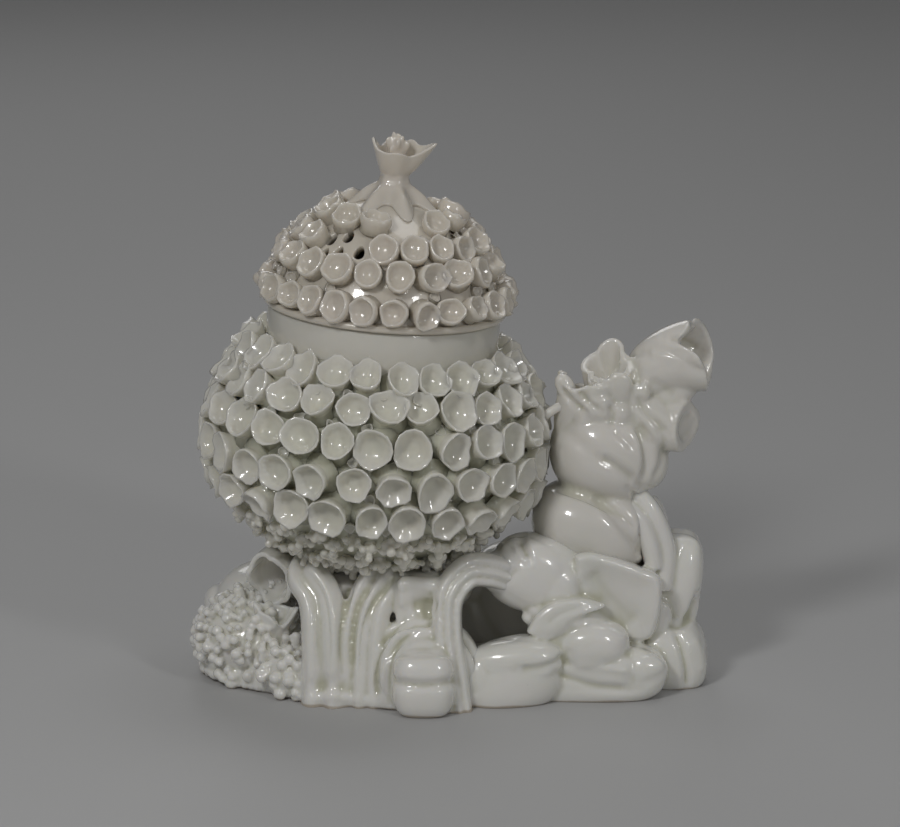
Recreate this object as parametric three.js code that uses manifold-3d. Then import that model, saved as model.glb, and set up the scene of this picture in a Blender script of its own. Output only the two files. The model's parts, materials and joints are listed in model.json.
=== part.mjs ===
import * as THREE from 'three';
import * as BufferGeometryUtils from 'three/addons/utils/BufferGeometryUtils.js';
import Module from 'manifold-3d';

// Potpourri vase of white glazed porcelain: a blossom-covered bowl with a pierced lid,
// standing on rockwork beside a twisted tree trunk. Millimetres, +Z up, -Y is the front.

// Driving dimensions

const FIT_GAP = 0.3;            // left between pieces that touch
const SLIP_GAP = 0.7;           // from a wall to the root of the blossoms on it
const BOWL_LEAN = 4.5;          // degrees, how far the bowl leans towards the trunk
const BOWL_AXIS_X = -32.9;      // where the bowl's axis meets the ground
const STEM_FOOT = 42;           // height of the stem's foot on the rock
const STEM_RADIUS = 12;
const BOWL_RADIUS = 53.5;       // the bowl's wall at its widest, without blossoms
const BOWL_WIDEST = 82;         // the height of that
const NECK_RADIUS = 39.3;
const NECK_FOOT = 118;          // where the plain neck starts
const NECK_HEIGHT = 12;          // from the neck's foot to its upper edge
const NECK_RIM = NECK_FOOT + NECK_HEIGHT;
const WALL = 3.4;
const LID_OVERHANG = 1.9;       // the lid's rim stands out this far past the neck
const LID_EDGE = 2.4;           // height of the lid's plain rim
const LID_RISE = 36;            // the dome's height over the rim's top
const LID_WALL = 3.0;
const FLANGE_DEPTH = 5;         // the ring inside the neck that keeps the lid in place
const FLANGE_GAP = 0.6;         // its play in the neck
const BLOSSOM_REACH = 5.9;      // how far a blossom stands out from the wall
const BLOSSOM_RADIUS = 5.9;
const LID_BLOSSOM_RADIUS = 5.2;
const LID_BLOSSOM_REACH = 4.8;
const SPRIG_RADIUS = 4.2;
const FINIAL_NECK = 4.9;        // radius of the finial's neck
const FINIAL_RISE = 21.8;
const PLINTH_HEIGHT = 6;
const AROUND = 30;              // facets of a turned piece

const WHITE = 0xe9e8e2;

const wasm = await Module();
wasm.setup();

// Solids

const rad = (degrees) => degrees * Math.PI / 180;

// A closed body from vertex and triangle lists, each vertex kept once.
function bodyOf(points, faces) {
  const geometry = new THREE.BufferGeometry();
  geometry.setAttribute('position', new THREE.Float32BufferAttribute(points.flat(), 3));
  geometry.setIndex(faces.flat());
  return geometry;
}

// A closed body through rings of equal count, with a fan over each end to its middle or to
// the point given.
function skinned(rings, endPoint = null) {
  const count = rings[0].length;
  const points = rings.flat();
  const faces = [];
  for (let k = 0; k + 1 < rings.length; k += 1) {
    for (let i = 0; i < count; i += 1) {
      const a = k * count + i;
      const b = k * count + (i + 1) % count;
      faces.push([a, b, b + count], [a, b + count, a + count]);
    }
  }
  const middle = (ring) => [0, 1, 2].map((j) => ring.reduce((sum, p) => sum + p[j], 0) / count);
  const first = points.length;
  points.push(middle(rings[0]), endPoint === null ? middle(rings[rings.length - 1]) : endPoint);
  const last = (rings.length - 1) * count;
  for (let i = 0; i < count; i += 1) {
    const j = (i + 1) % count;
    faces.push([first, j, i], [first + 1, last + i, last + j]);
  }
  return outward(bodyOf(points, faces));
}

function volumeOf(geometry) {
  const p = geometry.getAttribute('position');
  const index = geometry.getIndex();
  const [a, b, c] = [new THREE.Vector3(), new THREE.Vector3(), new THREE.Vector3()];
  let sum = 0;
  for (let i = 0; i < index.count; i += 3) {
    a.fromBufferAttribute(p, index.getX(i));
    b.fromBufferAttribute(p, index.getX(i + 1));
    c.fromBufferAttribute(p, index.getX(i + 2));
    sum += a.dot(b.cross(c)) / 6;
  }
  return sum;
}

function outward(geometry) {
  if (volumeOf(geometry) < 0) {
    const array = geometry.getIndex().array;
    for (let i = 0; i < array.length; i += 3) {
      [array[i + 1], array[i + 2]] = [array[i + 2], array[i + 1]];
    }
  }
  return geometry;
}

function mergedCopy(geometry) {
  const plain = geometry.clone();
  plain.deleteAttribute('normal');
  plain.deleteAttribute('uv');
  return BufferGeometryUtils.mergeVertices(plain, 1e-5);
}

function solidOf(geometry) {
  const merged = mergedCopy(geometry);
  return new wasm.Manifold(new wasm.Mesh({
    numProp: 3,
    vertProperties: new Float32Array(merged.getAttribute('position').array),
    triVerts: new Uint32Array(merged.getIndex().array),
  }));
}

// The largest separate part of a solid, as geometry.
function geometryOf(solid) {
  const pieces = solid.decompose();
  const largest = pieces.reduce((best, piece) => (piece.volume() > best.volume() ? piece : best));
  const mesh = largest.simplify(0.04).getMesh();
  const points = [];
  for (let i = 0; i < mesh.vertProperties.length; i += mesh.numProp) {
    points.push([0, 1, 2].map((j) => mesh.vertProperties[i + j]));
  }
  return bodyOf(points, [Array.from(mesh.triVerts)]);
}

// The same body with each face moved out by a distance. A vertex moves along the mean of its
// faces' normals, further where they differ.
function grown(geometry, by) {
  const copy = mergedCopy(geometry);
  const p = copy.getAttribute('position');
  const index = copy.getIndex().array;
  const corner = Array.from({ length: p.count }, () => []);
  const at = (i) => new THREE.Vector3().fromBufferAttribute(p, i);
  for (let i = 0; i < index.length; i += 3) {
    const ids = [index[i], index[i + 1], index[i + 2]];
    const [a, b, c] = ids.map(at);
    const normal = b.clone().sub(a).cross(c.clone().sub(a));
    if (normal.length() < 1e-9) {
      continue;
    }
    normal.normalize();
    ids.forEach((id, k) => {
      const [o, u, v] = [[a, b, c], [b, c, a], [c, a, b]][k];
      corner[id].push([normal, u.clone().sub(o).angleTo(v.clone().sub(o))]);
    });
  }
  const moved = corner.map((faces, i) => {
    const mean = new THREE.Vector3();
    faces.forEach(([normal, angle]) => mean.addScaledVector(normal, angle));
    mean.normalize();
    const least = Math.min(...faces.map(([normal]) => mean.dot(normal)));
    return at(i).addScaledVector(mean, by / Math.max(least, 0.45));
  });
  moved.forEach((v, i) => p.setXYZ(i, v.x, v.y, v.z));
  return copy;
}

function cutBy(geometry, others) {
  let solid = solidOf(geometry);
  for (const other of others) {
    solid = solid.subtract(solidOf(grown(other, FIT_GAP * 1.15))).subtract(solidOf(grown(other, FIT_GAP / 6)));
  }
  return geometryOf(solid);
}

// The part of a body above the ground.
function grounded(geometry) {
  geometry.computeBoundingBox();
  const size = geometry.boundingBox.getSize(new THREE.Vector3());
  const middle = geometry.boundingBox.getCenter(new THREE.Vector3());
  const tall = geometry.boundingBox.max.z + 1;
  const box = new THREE.BoxGeometry(size.x + 2, size.y + 2, tall);
  box.translate(middle.x, middle.y, tall / 2);
  return geometryOf(solidOf(geometry).intersect(solidOf(box)));
}

// A turned body from a profile of radius and height pairs that starts and ends on the axis.
function turned(profile, around = AROUND) {
  const geometry = new THREE.LatheGeometry(profile.map(([r, z]) => new THREE.Vector2(r, z)), around);
  geometry.rotateX(Math.PI / 2);
  geometry.deleteAttribute('normal');
  geometry.deleteAttribute('uv');
  const merged = BufferGeometryUtils.mergeVertices(geometry, 1e-4);
  const index = Array.from(merged.getIndex().array);
  const kept = [];
  for (let i = 0; i < index.length; i += 3) {
    const [a, b, c] = index.slice(i, i + 3);
    if (a !== b && b !== c && c !== a) {
      kept.push(a, b, c);
    }
  }
  merged.setIndex(kept);
  return outward(merged);
}

// Rocks: an oval body whose radius varies with direction. A swelling raises it round one
// direction, and a groove lowers it along a circle round its normal.

function directionRadius(n, power, swellings, grooves) {
  const square = n.reduce((sum, c) => sum + Math.abs(c) ** power, 0) ** (-1 / power);
  let factor = 1;
  for (const [x, y, z, amount, spread] of swellings) {
    const length = Math.hypot(x, y, z);
    const along = (n[0] * x + n[1] * y + n[2] * z) / length;
    factor += amount * Math.exp((along - 1) / (spread * spread));
  }
  for (const [x, y, z, offset, depth, width] of grooves) {
    const length = Math.hypot(x, y, z);
    const along = (n[0] * x + n[1] * y + n[2] * z) / length - offset;
    factor -= depth * Math.exp(-((along / width) ** 2));
  }
  return square * factor;
}

function rock([at, half, turn, power, swellings, grooves], around = 14, high = 9) {
  const matrix = new THREE.Matrix4().makeRotationFromEuler(
    new THREE.Euler(rad(turn[0]), rad(turn[1]), rad(turn[2]), 'ZYX'),
  );
  const place = (n) => {
    const r = directionRadius(n, power, swellings, grooves);
    const v = new THREE.Vector3(n[0] * r * half[0], n[1] * r * half[1], n[2] * r * half[2]);
    v.applyMatrix4(matrix);
    return [v.x + at[0], v.y + at[1], v.z + at[2]];
  };
  const points = [place([0, 0, -1]), place([0, 0, 1])];
  const faces = [];
  const ringStart = (k) => 2 + (k - 1) * around;
  for (let k = 1; k < high; k += 1) {
    const polar = Math.PI * (1 - k / high);
    for (let i = 0; i < around; i += 1) {
      const phi = 2 * Math.PI * i / around;
      points.push(place([Math.sin(polar) * Math.cos(phi), Math.sin(polar) * Math.sin(phi), Math.cos(polar)]));
    }
  }
  for (let i = 0; i < around; i += 1) {
    const j = (i + 1) % around;
    faces.push([0, ringStart(1) + j, ringStart(1) + i]);
    faces.push([1, ringStart(high - 1) + i, ringStart(high - 1) + j]);
    for (let k = 1; k + 1 < high; k += 1) {
      const [a, b] = [ringStart(k) + i, ringStart(k) + j];
      faces.push([a, b, b + around], [a, b + around, a + around]);
    }
  }
  return outward(bodyOf(points, faces));
}

// Bands and branches: an oval section carried along a smooth path.

// Uniform Catmull-Rom value through rows of numbers, t from 0 to 1.
function along(rows, t) {
  const last = rows.length - 1;
  const scaled = Math.min(Math.max(t, 0), 1) * last;
  const k = Math.min(Math.floor(scaled), last - 1);
  const f = scaled - k;
  const row = (i) => {
    if (i < 0) {
      return rows[0].map((v, j) => 2 * v - rows[1][j]);
    }
    if (i > last) {
      return rows[last].map((v, j) => 2 * v - rows[last - 1][j]);
    }
    return rows[i];
  };
  const [p0, p1, p2, p3] = [row(k - 1), row(k), row(k + 1), row(k + 2)];
  return p1.map((_, j) => 0.5 * (2 * p1[j] + (p2[j] - p0[j]) * f
    + (2 * p0[j] - 5 * p1[j] + 4 * p2[j] - p3[j]) * f * f
    + (3 * p1[j] - p0[j] - 3 * p2[j] + p3[j]) * f * f * f));
}

// The frame at t: centre, tangent, across and out. Across is square to the tangent and to
// the reference direction, and out is square to both.
function frameAt(rows, t, reference) {
  const step = 1e-3;
  const a = along(rows, Math.max(t - step, 0));
  const b = along(rows, Math.min(t + step, 1));
  const tangent = new THREE.Vector3(b[0] - a[0], b[1] - a[1], b[2] - a[2]).normalize();
  const across = new THREE.Vector3().crossVectors(new THREE.Vector3(...reference), tangent).normalize();
  const out = new THREE.Vector3().crossVectors(tangent, across);
  return [along(rows, t), tangent, across, out];
}

// One ring of a band: half width across, half thickness out, ridged on its outer face.
function bandRing(rows, t, reference, ribs, ridge, around, scale = 1) {
  const [c, , across, out] = frameAt(rows, t, reference);
  const ring = [];
  for (let i = 0; i < around; i += 1) {
    const phi = 2 * Math.PI * i / around;
    const x = Math.cos(phi);
    let y = Math.sin(phi);
    if (y > 0) {
      y = y ** 0.6 - ridge * (1 - Math.abs(Math.cos(ribs * Math.PI * (x + 1) / 2 + Math.PI / 2))) * y ** 0.4;
    }
    const [u, v] = [x * c[3] * scale, y * c[4] * scale];
    ring.push([0, 1, 2].map((j) => c[j] + across.getComponent(j) * u + out.getComponent(j) * v));
  }
  return ring;
}

function band(rows, reference, ribs, ridge, around = 18, steps = 8) {
  const rings = [];
  for (let k = 0; k <= steps; k += 1) {
    rings.push(bandRing(rows, k / steps, reference, ribs, ridge, around));
  }
  return skinned(rings);
}

// One ring of a branch: strands wound round it, and a rim that waves along the path.
function branchRing(rows, t, reference, [strands, depth, twist], waves, around, inset, drop) {
  const [c, tangent, across, out] = frameAt(rows, t, reference);
  const ring = [];
  for (let i = 0; i < around; i += 1) {
    const phi = 2 * Math.PI * i / around;
    const valley = 1 - Math.abs(Math.sin(0.5 * strands * (phi - twist * t)));
    const factor = 1 - depth * valley * valley;
    let shift = -drop;
    for (const [angle, rise, spread] of waves) {
      shift += t ** 6 * rise * Math.exp((Math.cos(phi - rad(angle)) - 1) / (spread * spread));
    }
    const u = Math.cos(phi) * (c[3] * factor - inset);
    const v = Math.sin(phi) * (c[4] * factor - inset);
    ring.push([0, 1, 2].map((j) => c[j] + across.getComponent(j) * u + out.getComponent(j) * v
      + tangent.getComponent(j) * shift));
  }
  return ring;
}

// A branch whose end is open: up the outside, over the rim and down the inside.
function openBranch(rows, reference, strands, waves, wall, depthInside, around = 14, steps = 7) {
  const rings = [];
  for (let k = 0; k <= steps; k += 1) {
    rings.push(branchRing(rows, k / steps, reference, strands, waves, around, 0, 0));
  }
  for (let k = 0; k <= 2; k += 1) {
    const t = 1 - depthInside * k / 2;
    rings.push(branchRing(rows, t, reference, strands, waves, around, wall * (1 + k * 0.3), 0));
  }
  return skinned(rings);
}

// Blossoms: a ring of six-sided cups that grow out of one slip band.

function blossomRow([given, r, z, lean, radius, reach, phase, skipped = []], arc = null) {
  const count = Math.round(given);
  const [cosine, sine] = [Math.cos(rad(lean)), Math.sin(rad(lean))];
  const root = 2.4;
  const point = (theta, side, up, out) => {
    const radial = r + out * cosine - up * sine;
    return [
      radial * Math.cos(theta) - side * Math.sin(theta),
      radial * Math.sin(theta) + side * Math.cos(theta),
      z + out * sine + up * cosine,
    ];
  };
  const step = 2 * Math.PI / count;
  const shown = arc === null ? count : Math.min(count - 1, Math.round(arc));
  const points = [];
  const faces = [];
  const edges = [];
  for (let i = 0; i <= shown; i += 1) {
    if (arc === null && i === shown) {
      edges.push(edges[0]);
      continue;
    }
    const theta = phase + (i - 0.5) * step;
    const start = points.length;
    points.push(point(theta, 0, 0, 0), point(theta, 0, -radius * 0.3, 1.3), point(theta, 0, radius * 0.3, 1.3));
    edges.push([start, start + 1, start + 2]);
  }
  for (let i = 0; i < shown; i += 1) {
    const theta = phase + i * step;
    const [rootA, lowA, highA] = edges[i];
    const [rootB, lowB, highB] = edges[i + 1];
    const low = points.length;
    points.push(point(theta, 0, -radius * 0.5, root * 0.55), point(theta, 0, radius * 0.5, root * 0.55));
    const high = low + 1;
    faces.push([rootA, rootB, low], [rootA, low, lowA], [rootB, lowB, low]);
    faces.push([rootB, rootA, high], [rootA, highA, high], [rootB, high, highB]);
    const base = [highB, high, highA, lowA, low, lowB];
    if (skipped.includes(i)) {
      const middle = points.length;
      points.push(point(theta, 0, 0, root * 0.8));
      base.forEach((p, k) => faces.push([p, base[(k + 1) % 6], middle]));
      continue;
    }
    const rim = [];
    for (let k = 0; k < 6; k += 1) {
      const angle = rad(30 + 60 * k);
      rim.push(points.length);
      const jut = reach + 0.35 * Math.sin(3.1 * i + 2.3 * k);
      points.push(point(theta, radius * Math.cos(angle), radius * Math.sin(angle), jut));
    }
    const middle = points.length;
    points.push(point(theta, 0, 0, root * 0.8));
    for (let k = 0; k < 6; k += 1) {
      const next = (k + 1) % 6;
      faces.push([base[k], base[next], rim[next]], [base[k], rim[next], rim[k]]);
      faces.push([rim[k], rim[next], middle]);
    }
  }
  if (arc !== null) {
    const [rootA, lowA, highA] = edges[0];
    const [rootB, lowB, highB] = edges[shown];
    faces.push([rootA, lowA, highA], [rootB, highB, lowB]);
  }
  return outward(bodyOf(points, faces));
}

// Rocks of the base: name, centre, half sizes, turns in degrees, squareness,
// swellings [direction, amount, spread], grooves [normal, offset, depth, width]

const ROCKS = [
  ['scroll_foot', [-9.5, -40, 10.5], [10.6, 11.2, 12], [0, 0, 0], 3.2, [], [[0, 0, 1, 0.14, 0.13, 0.13], [0, 0.35, 1, 0.62, 0.06, 0.08]]],
  ['scroll_rings', [-9.5, -29, 11], [19.5, 15, 19], [0, 0, 0], 2.1, [], [[0, -1, -0.05, 0.3, 0.1, 0.07], [0, -1, -0.05, 0.6, 0.09, 0.07]]],
  ['niche', [-9, -24, 33], [10, 8.5, 11], [0, 0, 0], 3.4, [[0.15, -1, -0.1, -0.3, 0.36]], []],
  ['shoulder_rock', [29, -13.5, 40.5], [16.5, 12.5, 13.5], [0, 10, 0], 2.4, [[0.9, -0.4, -0.5, 0.12, 0.35], [-0.8, -0.5, -0.2, 0.12, 0.35]], []],
  ['front_left_boulder', [19.5, -26.5, 8], [18.5, 12, 13], [0, -14, 6], 2.5, [[0.75, -0.4, 0.6, 0.1, 0.35], [-0.4, -0.8, 0.6, -0.1, 0.35]], []],
  ['leaf_boulder', [38.5, -21.5, 27], [14, 8.5, 6], [0, 10, 0], 2.1, [[1, 0, 0.15, 0.22, 0.25], [-0.9, -0.3, -0.4, 0.15, 0.3]], [[0, -0.3, 1, 0.15, 0.07, 0.12]]],
  ['oval_boulder', [47.5, -25, 19], [12.5, 8.5, 8.5], [0, -4, 0], 2.2, [], []],
  ['front_slab', [45, -20.5, 7], [27.5, 11.5, 10.5], [0, -3, -4], 3, [[-0.5, -0.6, 0.4, -0.1, 0.3], [0.9, -0.5, 0.3, 0.08, 0.25]], [[0.2, -1, 0.9, 0.6, 0.03, 0.1]]],
  ['right_boulder', [75, -4, 8.5], [12.4, 15, 14.8], [0, 0, -8], 2.25, [[-0.5, -0.5, 0.7, 0.12, 0.35], [0.7, -0.4, -0.3, 0.1, 0.3]], []],
  ['leaf_slab', [57, -15, 31.5], [14.5, 8, 19], [-6, -26, 0], 3, [[-0.1, -1, 0.05, -0.34, 0.45], [0.9, -0.5, 0.35, 0.16, 0.25]], []],
  ['back_slab', [76.5, 5, 30], [8.8, 13, 20], [0, 6, 0], 3.4, [[0.3, -1, 0.3, 0.12, 0.4], [0.8, -0.8, -0.5, -0.2, 0.2]], []],
  ['folds', [66, 5, 47], [9, 11, 18], [0, -6, 0], 2.3, [], [[1, -0.4, 0.2, 0.5, 0.12, 0.12], [1, -0.4, 0.2, 0.05, 0.1, 0.12]]],
  ['trunk_root', [48, 6, 27], [18, 16, 19], [0, 8, 0], 2.3, [], [[1, 0.3, 0.1, 0.3, 0.1, 0.14]]],
  ['trunk_middle', [48.5, -2.5, 55], [21.5, 17.5, 14.5], [0, 14, 0], 2.3, [[-0.4, -0.8, 0, 0.07, 0.6]], [[0.75, 0.1, 0.66, 0.42, 0.12, 0.1], [0.9, 0.1, 0.4, 0.78, 0.1, 0.08]]],
  ['trunk_upper', [52.5, -1, 80.5], [19.5, 17.5, 17.5], [0, 0, 0], 2.2, [[1, -0.3, -0.45, 0.12, 0.4]], [[0.655, 0.05, 0.755, -0.11, 0.13, 0.13], [0.3, 0.2, 0.9, 0.66, 0.09, 0.12]]],
  ['coral_mound', [-67.5, 2, 9], [22, 22, 16.5], [0, 6, 0], 2.4, [[-0.7, -0.5, 0.4, 0.12, 0.3], [0.3, -0.8, 0.5, 0.12, 0.3]], [[1, 0.4, 0.1, -0.25, 0.08, 0.1], [1, 0.1, 0, 0.35, 0.08, 0.1]]],
  ['shell_scoop', [-60, -3, 34], [8.5, 8, 8.5], [0, 20, 0], 2.2, [[0.6, -0.75, 0.35, -0.42, 0.42]], []],
  ['crown_rock', [-25, 2, 33.5], [32, 24, 9.5], [0, 2, 0], 2.5, [[0.6, -0.6, 0, 0.08, 0.3]], [[1, 0.6, 0, 0.2, 0.05, 0.1]]],
  ['pillar_rock', [-32, 2, 15], [17, 16, 14], [0, 0, 0], 2.8, [], []],
  ['back_rock_left', [-60, 26, 13], [24, 19, 20], [0, 8, 20], 2.4, [[0.3, 0.6, 0.7, 0.14, 0.35]], [[1, 0.5, 0.2, 0.2, 0.1, 0.12]]],
  ['back_rock_middle', [-24, 35, 14], [19, 16, 25], [6, 0, 0], 2.3, [], [[1, 0, 0, -0.35, 0.09, 0.1], [1, 0, 0, 0.35, 0.09, 0.1]]],
  ['back_rock_right', [18, 33, 15], [24, 16, 23], [0, -6, -6], 2.4, [[-0.4, 0.7, 0.6, 0.1, 0.3]], [[1, -0.3, 0.4, 0.1, 0.1, 0.12]]],
  ['back_boulder', [60, 24, 12], [22, 17, 20], [0, 4, -12], 2.4, [], [[0.7, 0.3, 0.7, 0.3, 0.09, 0.12]]],
];

// Ribbed bands: name, rows [x, y, z, half width, half thickness], direction that lies in the
// band's thickness, ribs, depth of the valleys
const BANDS = [
  ['fall_left', [[-60, -6, 33, 7, 5], [-56, -13, 40, 7, 5], [-49, -19, 41.5, 7.4, 5.5], [-44.5, -25, 35, 7.8, 5.5], [-43, -30, 22, 8, 5.5], [-43, -32.5, -3, 8.4, 5.5]], [-0.25, -1, 0.25], 2, 0.55],
  ['fall_middle', [[-17, -17, 45, 7, 5], [-21.5, -22, 43, 7.4, 5], [-27, -26, 35, 7.8, 5.5], [-30, -29.5, 22, 8, 5.5], [-30.5, -32, 8, 8, 5.5], [-30.5, -32.5, -3, 8.2, 5.5]], [-0.2, -1, 0.2], 3, 0.42],
  ['arch_right', [[2.5, -38, -3, 4.8, 5.5], [0.5, -37.5, 12, 4.8, 5.5], [-1.5, -35, 27, 5, 5.5], [-1, -32, 38, 5.4, 5.5], [5, -28, 45, 5.8, 5.5], [13, -24.5, 44.5, 5.8, 5.3], [21, -19, 40, 5.2, 5]], [0.1, -1, 0.1], 3, 0.4],
];

// Open branches: name, rows [x, y, z, half width, half depth], direction that lies across,
// strands [count, depth, twist], waves of the rim [angle, rise, spread], wall, hollow share
const BRANCHES = [
  ['trunk_flare', [[47, -1, 88, 12.5, 12], [45.5, -2.5, 95, 11.2, 10.6], [44.5, -3.5, 101, 11.2, 10.6]], [0, 1, 0], [5, 0.16, 0.8], [[180, 6, 0.4], [60, 1.5, 0.4], [-80, 5, 0.9]], 2.2, 0.7],
  ['branch_front', [[53.5, -3, 98, 8.5, 8], [52.5, -4.5, 106, 8.6, 8], [52, -4.5, 113, 9.2, 8.4]], [0, 1, 0], [4, 0.24, 0.5], [[70, 6, 0.6], [-90, -9.5, 0.85]], 2.2, 0.85],
  ['branch_upper', [[60, 2, 97, 10, 10], [66.5, 0.8, 105, 10.8, 10.4], [74, -0.5, 111.4, 11.2, 11], [84, -2, 114.4, 13.2, 12.4]], [0, 1, 0], [3, 0.16, 3.0], [[-128, -5, 0.22], [-60, 1.2, 0.6], [0, -2.6, 0.5], [180, -2.2, 0.4], [90, 3, 0.9]], 2.6, 0.36],
  ['branch_lower', [[58, -2, 94, 10, 10], [65.5, -3.5, 91.5, 10.4, 10.2], [72.5, -5, 90.2, 9.6, 9.4], [78.5, -7.2, 90, 8.8, 8.6]], [0, 1, 0], [3, 0.1, 2.4], [[100, 3, 0.8], [-100, -0.8, 0.5]], 3.2, 0.05],
];

// Rows of blossoms: name, count, height of the row's root, azimuth of the first one, then how
// many of them the row has where it stops short, and which of them are bare. On the bowl the
// height runs from 0 at the stem over 1 at the widest place to 2 at the neck, and on the lid
// from 0 at its edge to 1 at the apex.

const BOWL_ROWS = [
  ['bowl_blossoms_1', 26, 1.867, -95],
  ['bowl_blossoms_2', 27, 1.639, -86],
  ['bowl_blossoms_3', 27, 1.35, -89.5],
  ['bowl_blossoms_4', 27, 1.035, -96],
  ['bowl_blossoms_5', 26, 0.75, -90],
  ['bowl_blossoms_6', 23, 0.5, -96],
  ['bowl_blossoms_7', 19, 0.306, -90],
];
const SPRIG_ROWS = [
  ['bowl_sprigs_1', 16, 0.182, -88],
  ['bowl_sprigs_2', 11, 0.103, -98],
];
const LID_ROWS = [
  ['lid_blossoms_1', 26, 0.114, -85, null, []],
  ['lid_blossoms_2', 21, 0.403, -83, null, []],
  ['lid_blossoms_3', 19, 0.6, -92.3, 17, []],
  ['lid_blossoms_4', 12, 0.775, -105, null, [1]],
];

// The lid's almond-shaped holes: azimuth, share of the lid's rise
const LID_HOLES = [
  [-137.5, 0.642], [-124.7, 0.689], [-135.3, 0.514], [-125.1, 0.553], [-110.4, 0.586], [-49.8, 0.606],
  [-20, 0.68], [0, 0.5], [28, 0.68], [60, 0.5], [92, 0.68], [120, 0.5], [155, 0.68], [-175, 0.5],
];
const HOLE_HALF = [1.1, 1.9];

// Sepals of the finial: how many, azimuth of the first, reach at the tips and between them
const SEPALS = [6, -130, 17, 9.5];

// Petals of the finial: azimuth, reach, share of the flower's height at the tip, spread
const PETALS = [
  [-5, 13.6, 0.785, 0.34], [178, 8.6, 0.785, 0.36], [-88, 8.8, 0.576, 0.42],
  [100, 9, 0.715, 0.42], [48, 8, 0.69, 0.3], [-138, 7.8, 0.52, 0.3],
];

// Rim of the petals between their tips: reach, share of the flower's height
const PETAL_LOW = [6.6, 0.41];

// Foot line of the plinth, x and y
const FOOT_LINE = [
  [-86, 2], [-78, -10], [-69, -18], [-60, -23], [-50.5, -31], [-42, -36.5], [-32, -36.5], [-22, -40],
  [-10, -42], [1, -36], [18, -33], [36, -26.5], [52, -28], [64, -23], [72, -16], [82, -10], [84, 6],
  [80, 24], [68, 38], [48, 42], [22, 47], [-4, 50], [-30, 51], [-54, 46], [-74, 34], [-85, 18],
];

// Coral: how many balls swell out of its body, the body's centre, half sizes, turns and
// squareness, then the sprays above it as a rock with five arms
const CORAL_BALLS = 26;
const CORAL_BODY = [[-69.5, -1, 16], [22, 21, 18.5], [0, 6, 0], 2.2];
const CORAL_SPRAYS = [[-63, 1, 32], [6.5, 6.5, 7], [0, 0, 0], 2, [
  [-0.8, -0.3, 0.6, 0.5, 0.22], [0.2, -0.8, 0.6, 0.5, 0.22], [-0.2, 0.2, 1, 0.4, 0.22],
  [0.8, 0.2, 0.5, 0.5, 0.22], [-0.4, 0.8, 0.5, 0.5, 0.22]], []];

// Twig between the trunk and the bowl: x, y, z, half width, half thickness
const TWIG = [[41, -6, 97, 1.7, 1.7], [36, -8, 97, 1.6, 1.6], [31, -9, 94, 1.5, 1.5]];

// Walls of the bowl and the lid, as radius and height

const between = (a, b, f) => a + (b - a) * f;

const BELLY = [
  ...[[0, 0], [0.015, 0.075], [0.226, 0.11], [0.51, 0.25], [0.742, 0.45], [0.91, 0.675], [1, 1]]
    .map(([r, z]) => [between(STEM_RADIUS, BOWL_RADIUS, r), between(STEM_FOOT, BOWL_WIDEST, z)]),
  ...[[0.08, 0.306], [0.32, 0.583], [0.72, 0.833], [1, 1]]
    .map(([r, z]) => [between(BOWL_RADIUS, NECK_RADIUS, r), between(BOWL_WIDEST, NECK_FOOT, z)]),
  [NECK_RADIUS, between(NECK_FOOT, NECK_RIM, 0.3)],
  [NECK_RADIUS, NECK_RIM],
];

const LID_RADIUS = NECK_RADIUS + LID_OVERHANG;
const LID_BOTTOM = NECK_RIM + FIT_GAP;
const DOME = [[0.945, 0], [0.92, 0.14], [0.86, 0.31], [0.76, 0.48], [0.62, 0.65], [0.45, 0.8], [0.25, 0.93], [0, 1]]
  .map(([r, z]) => [LID_RADIUS * r, LID_BOTTOM + LID_EDGE + LID_RISE * z]);
const LID_SEAT = DOME[0][1];
const APEX = DOME[DOME.length - 1][1];

// Rows with their places turned into heights.
const belly = (place) => (
  place < 1 ? between(STEM_FOOT, BOWL_WIDEST, place) : between(BOWL_WIDEST, NECK_FOOT, place - 1)
);
const dome = (place) => between(LID_SEAT, APEX, place);
const placed = (rows, height) => rows.map(([name, count, place, ...rest]) => [name, count, height(place), ...rest]);
const BOWL_RINGS = placed(BOWL_ROWS, belly);
const SPRIG_RINGS = placed(SPRIG_ROWS, belly);
const LID_RINGS = placed(LID_ROWS, dome);

// A profile moved sideways along its own normals, inwards for a positive distance.
function within(profile, distance) {
  return profile.map(([r, z], i) => {
    const [r0, z0] = profile[Math.max(i - 1, 0)];
    const [r1, z1] = profile[Math.min(i + 1, profile.length - 1)];
    const length = Math.hypot(r1 - r0, z1 - z0);
    return [Math.max(r - distance * (z1 - z0) / length, 0), z + distance * (r1 - r0) / length];
  });
}

// The place on a wall at a height: radius, height and lean of its outward direction.
function seatOn(profile, height) {
  let best = 0;
  for (let t = 0; t <= 1; t += 0.001) {
    if (Math.abs(along(profile, t)[1] - height) < Math.abs(along(profile, best)[1] - height)) {
      best = t;
    }
  }
  const [r, z] = along(profile, best);
  const [r0, z0] = along(profile, best - 0.01);
  const [r1, z1] = along(profile, best + 0.01);
  const length = Math.hypot(r1 - r0, z1 - z0);
  const normal = [(z1 - z0) / length, (r0 - r1) / length];
  return [r + normal[0] * SLIP_GAP, z + normal[1] * SLIP_GAP, Math.atan2(normal[1], normal[0]) * 180 / Math.PI];
}

// Where the rims of a row lie, as radius and height.
function rimOf(profile, height, reach) {
  const [r, z, lean] = seatOn(profile, height);
  return [r + reach * Math.cos(rad(lean)), z + reach * Math.sin(rad(lean))];
}

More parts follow.
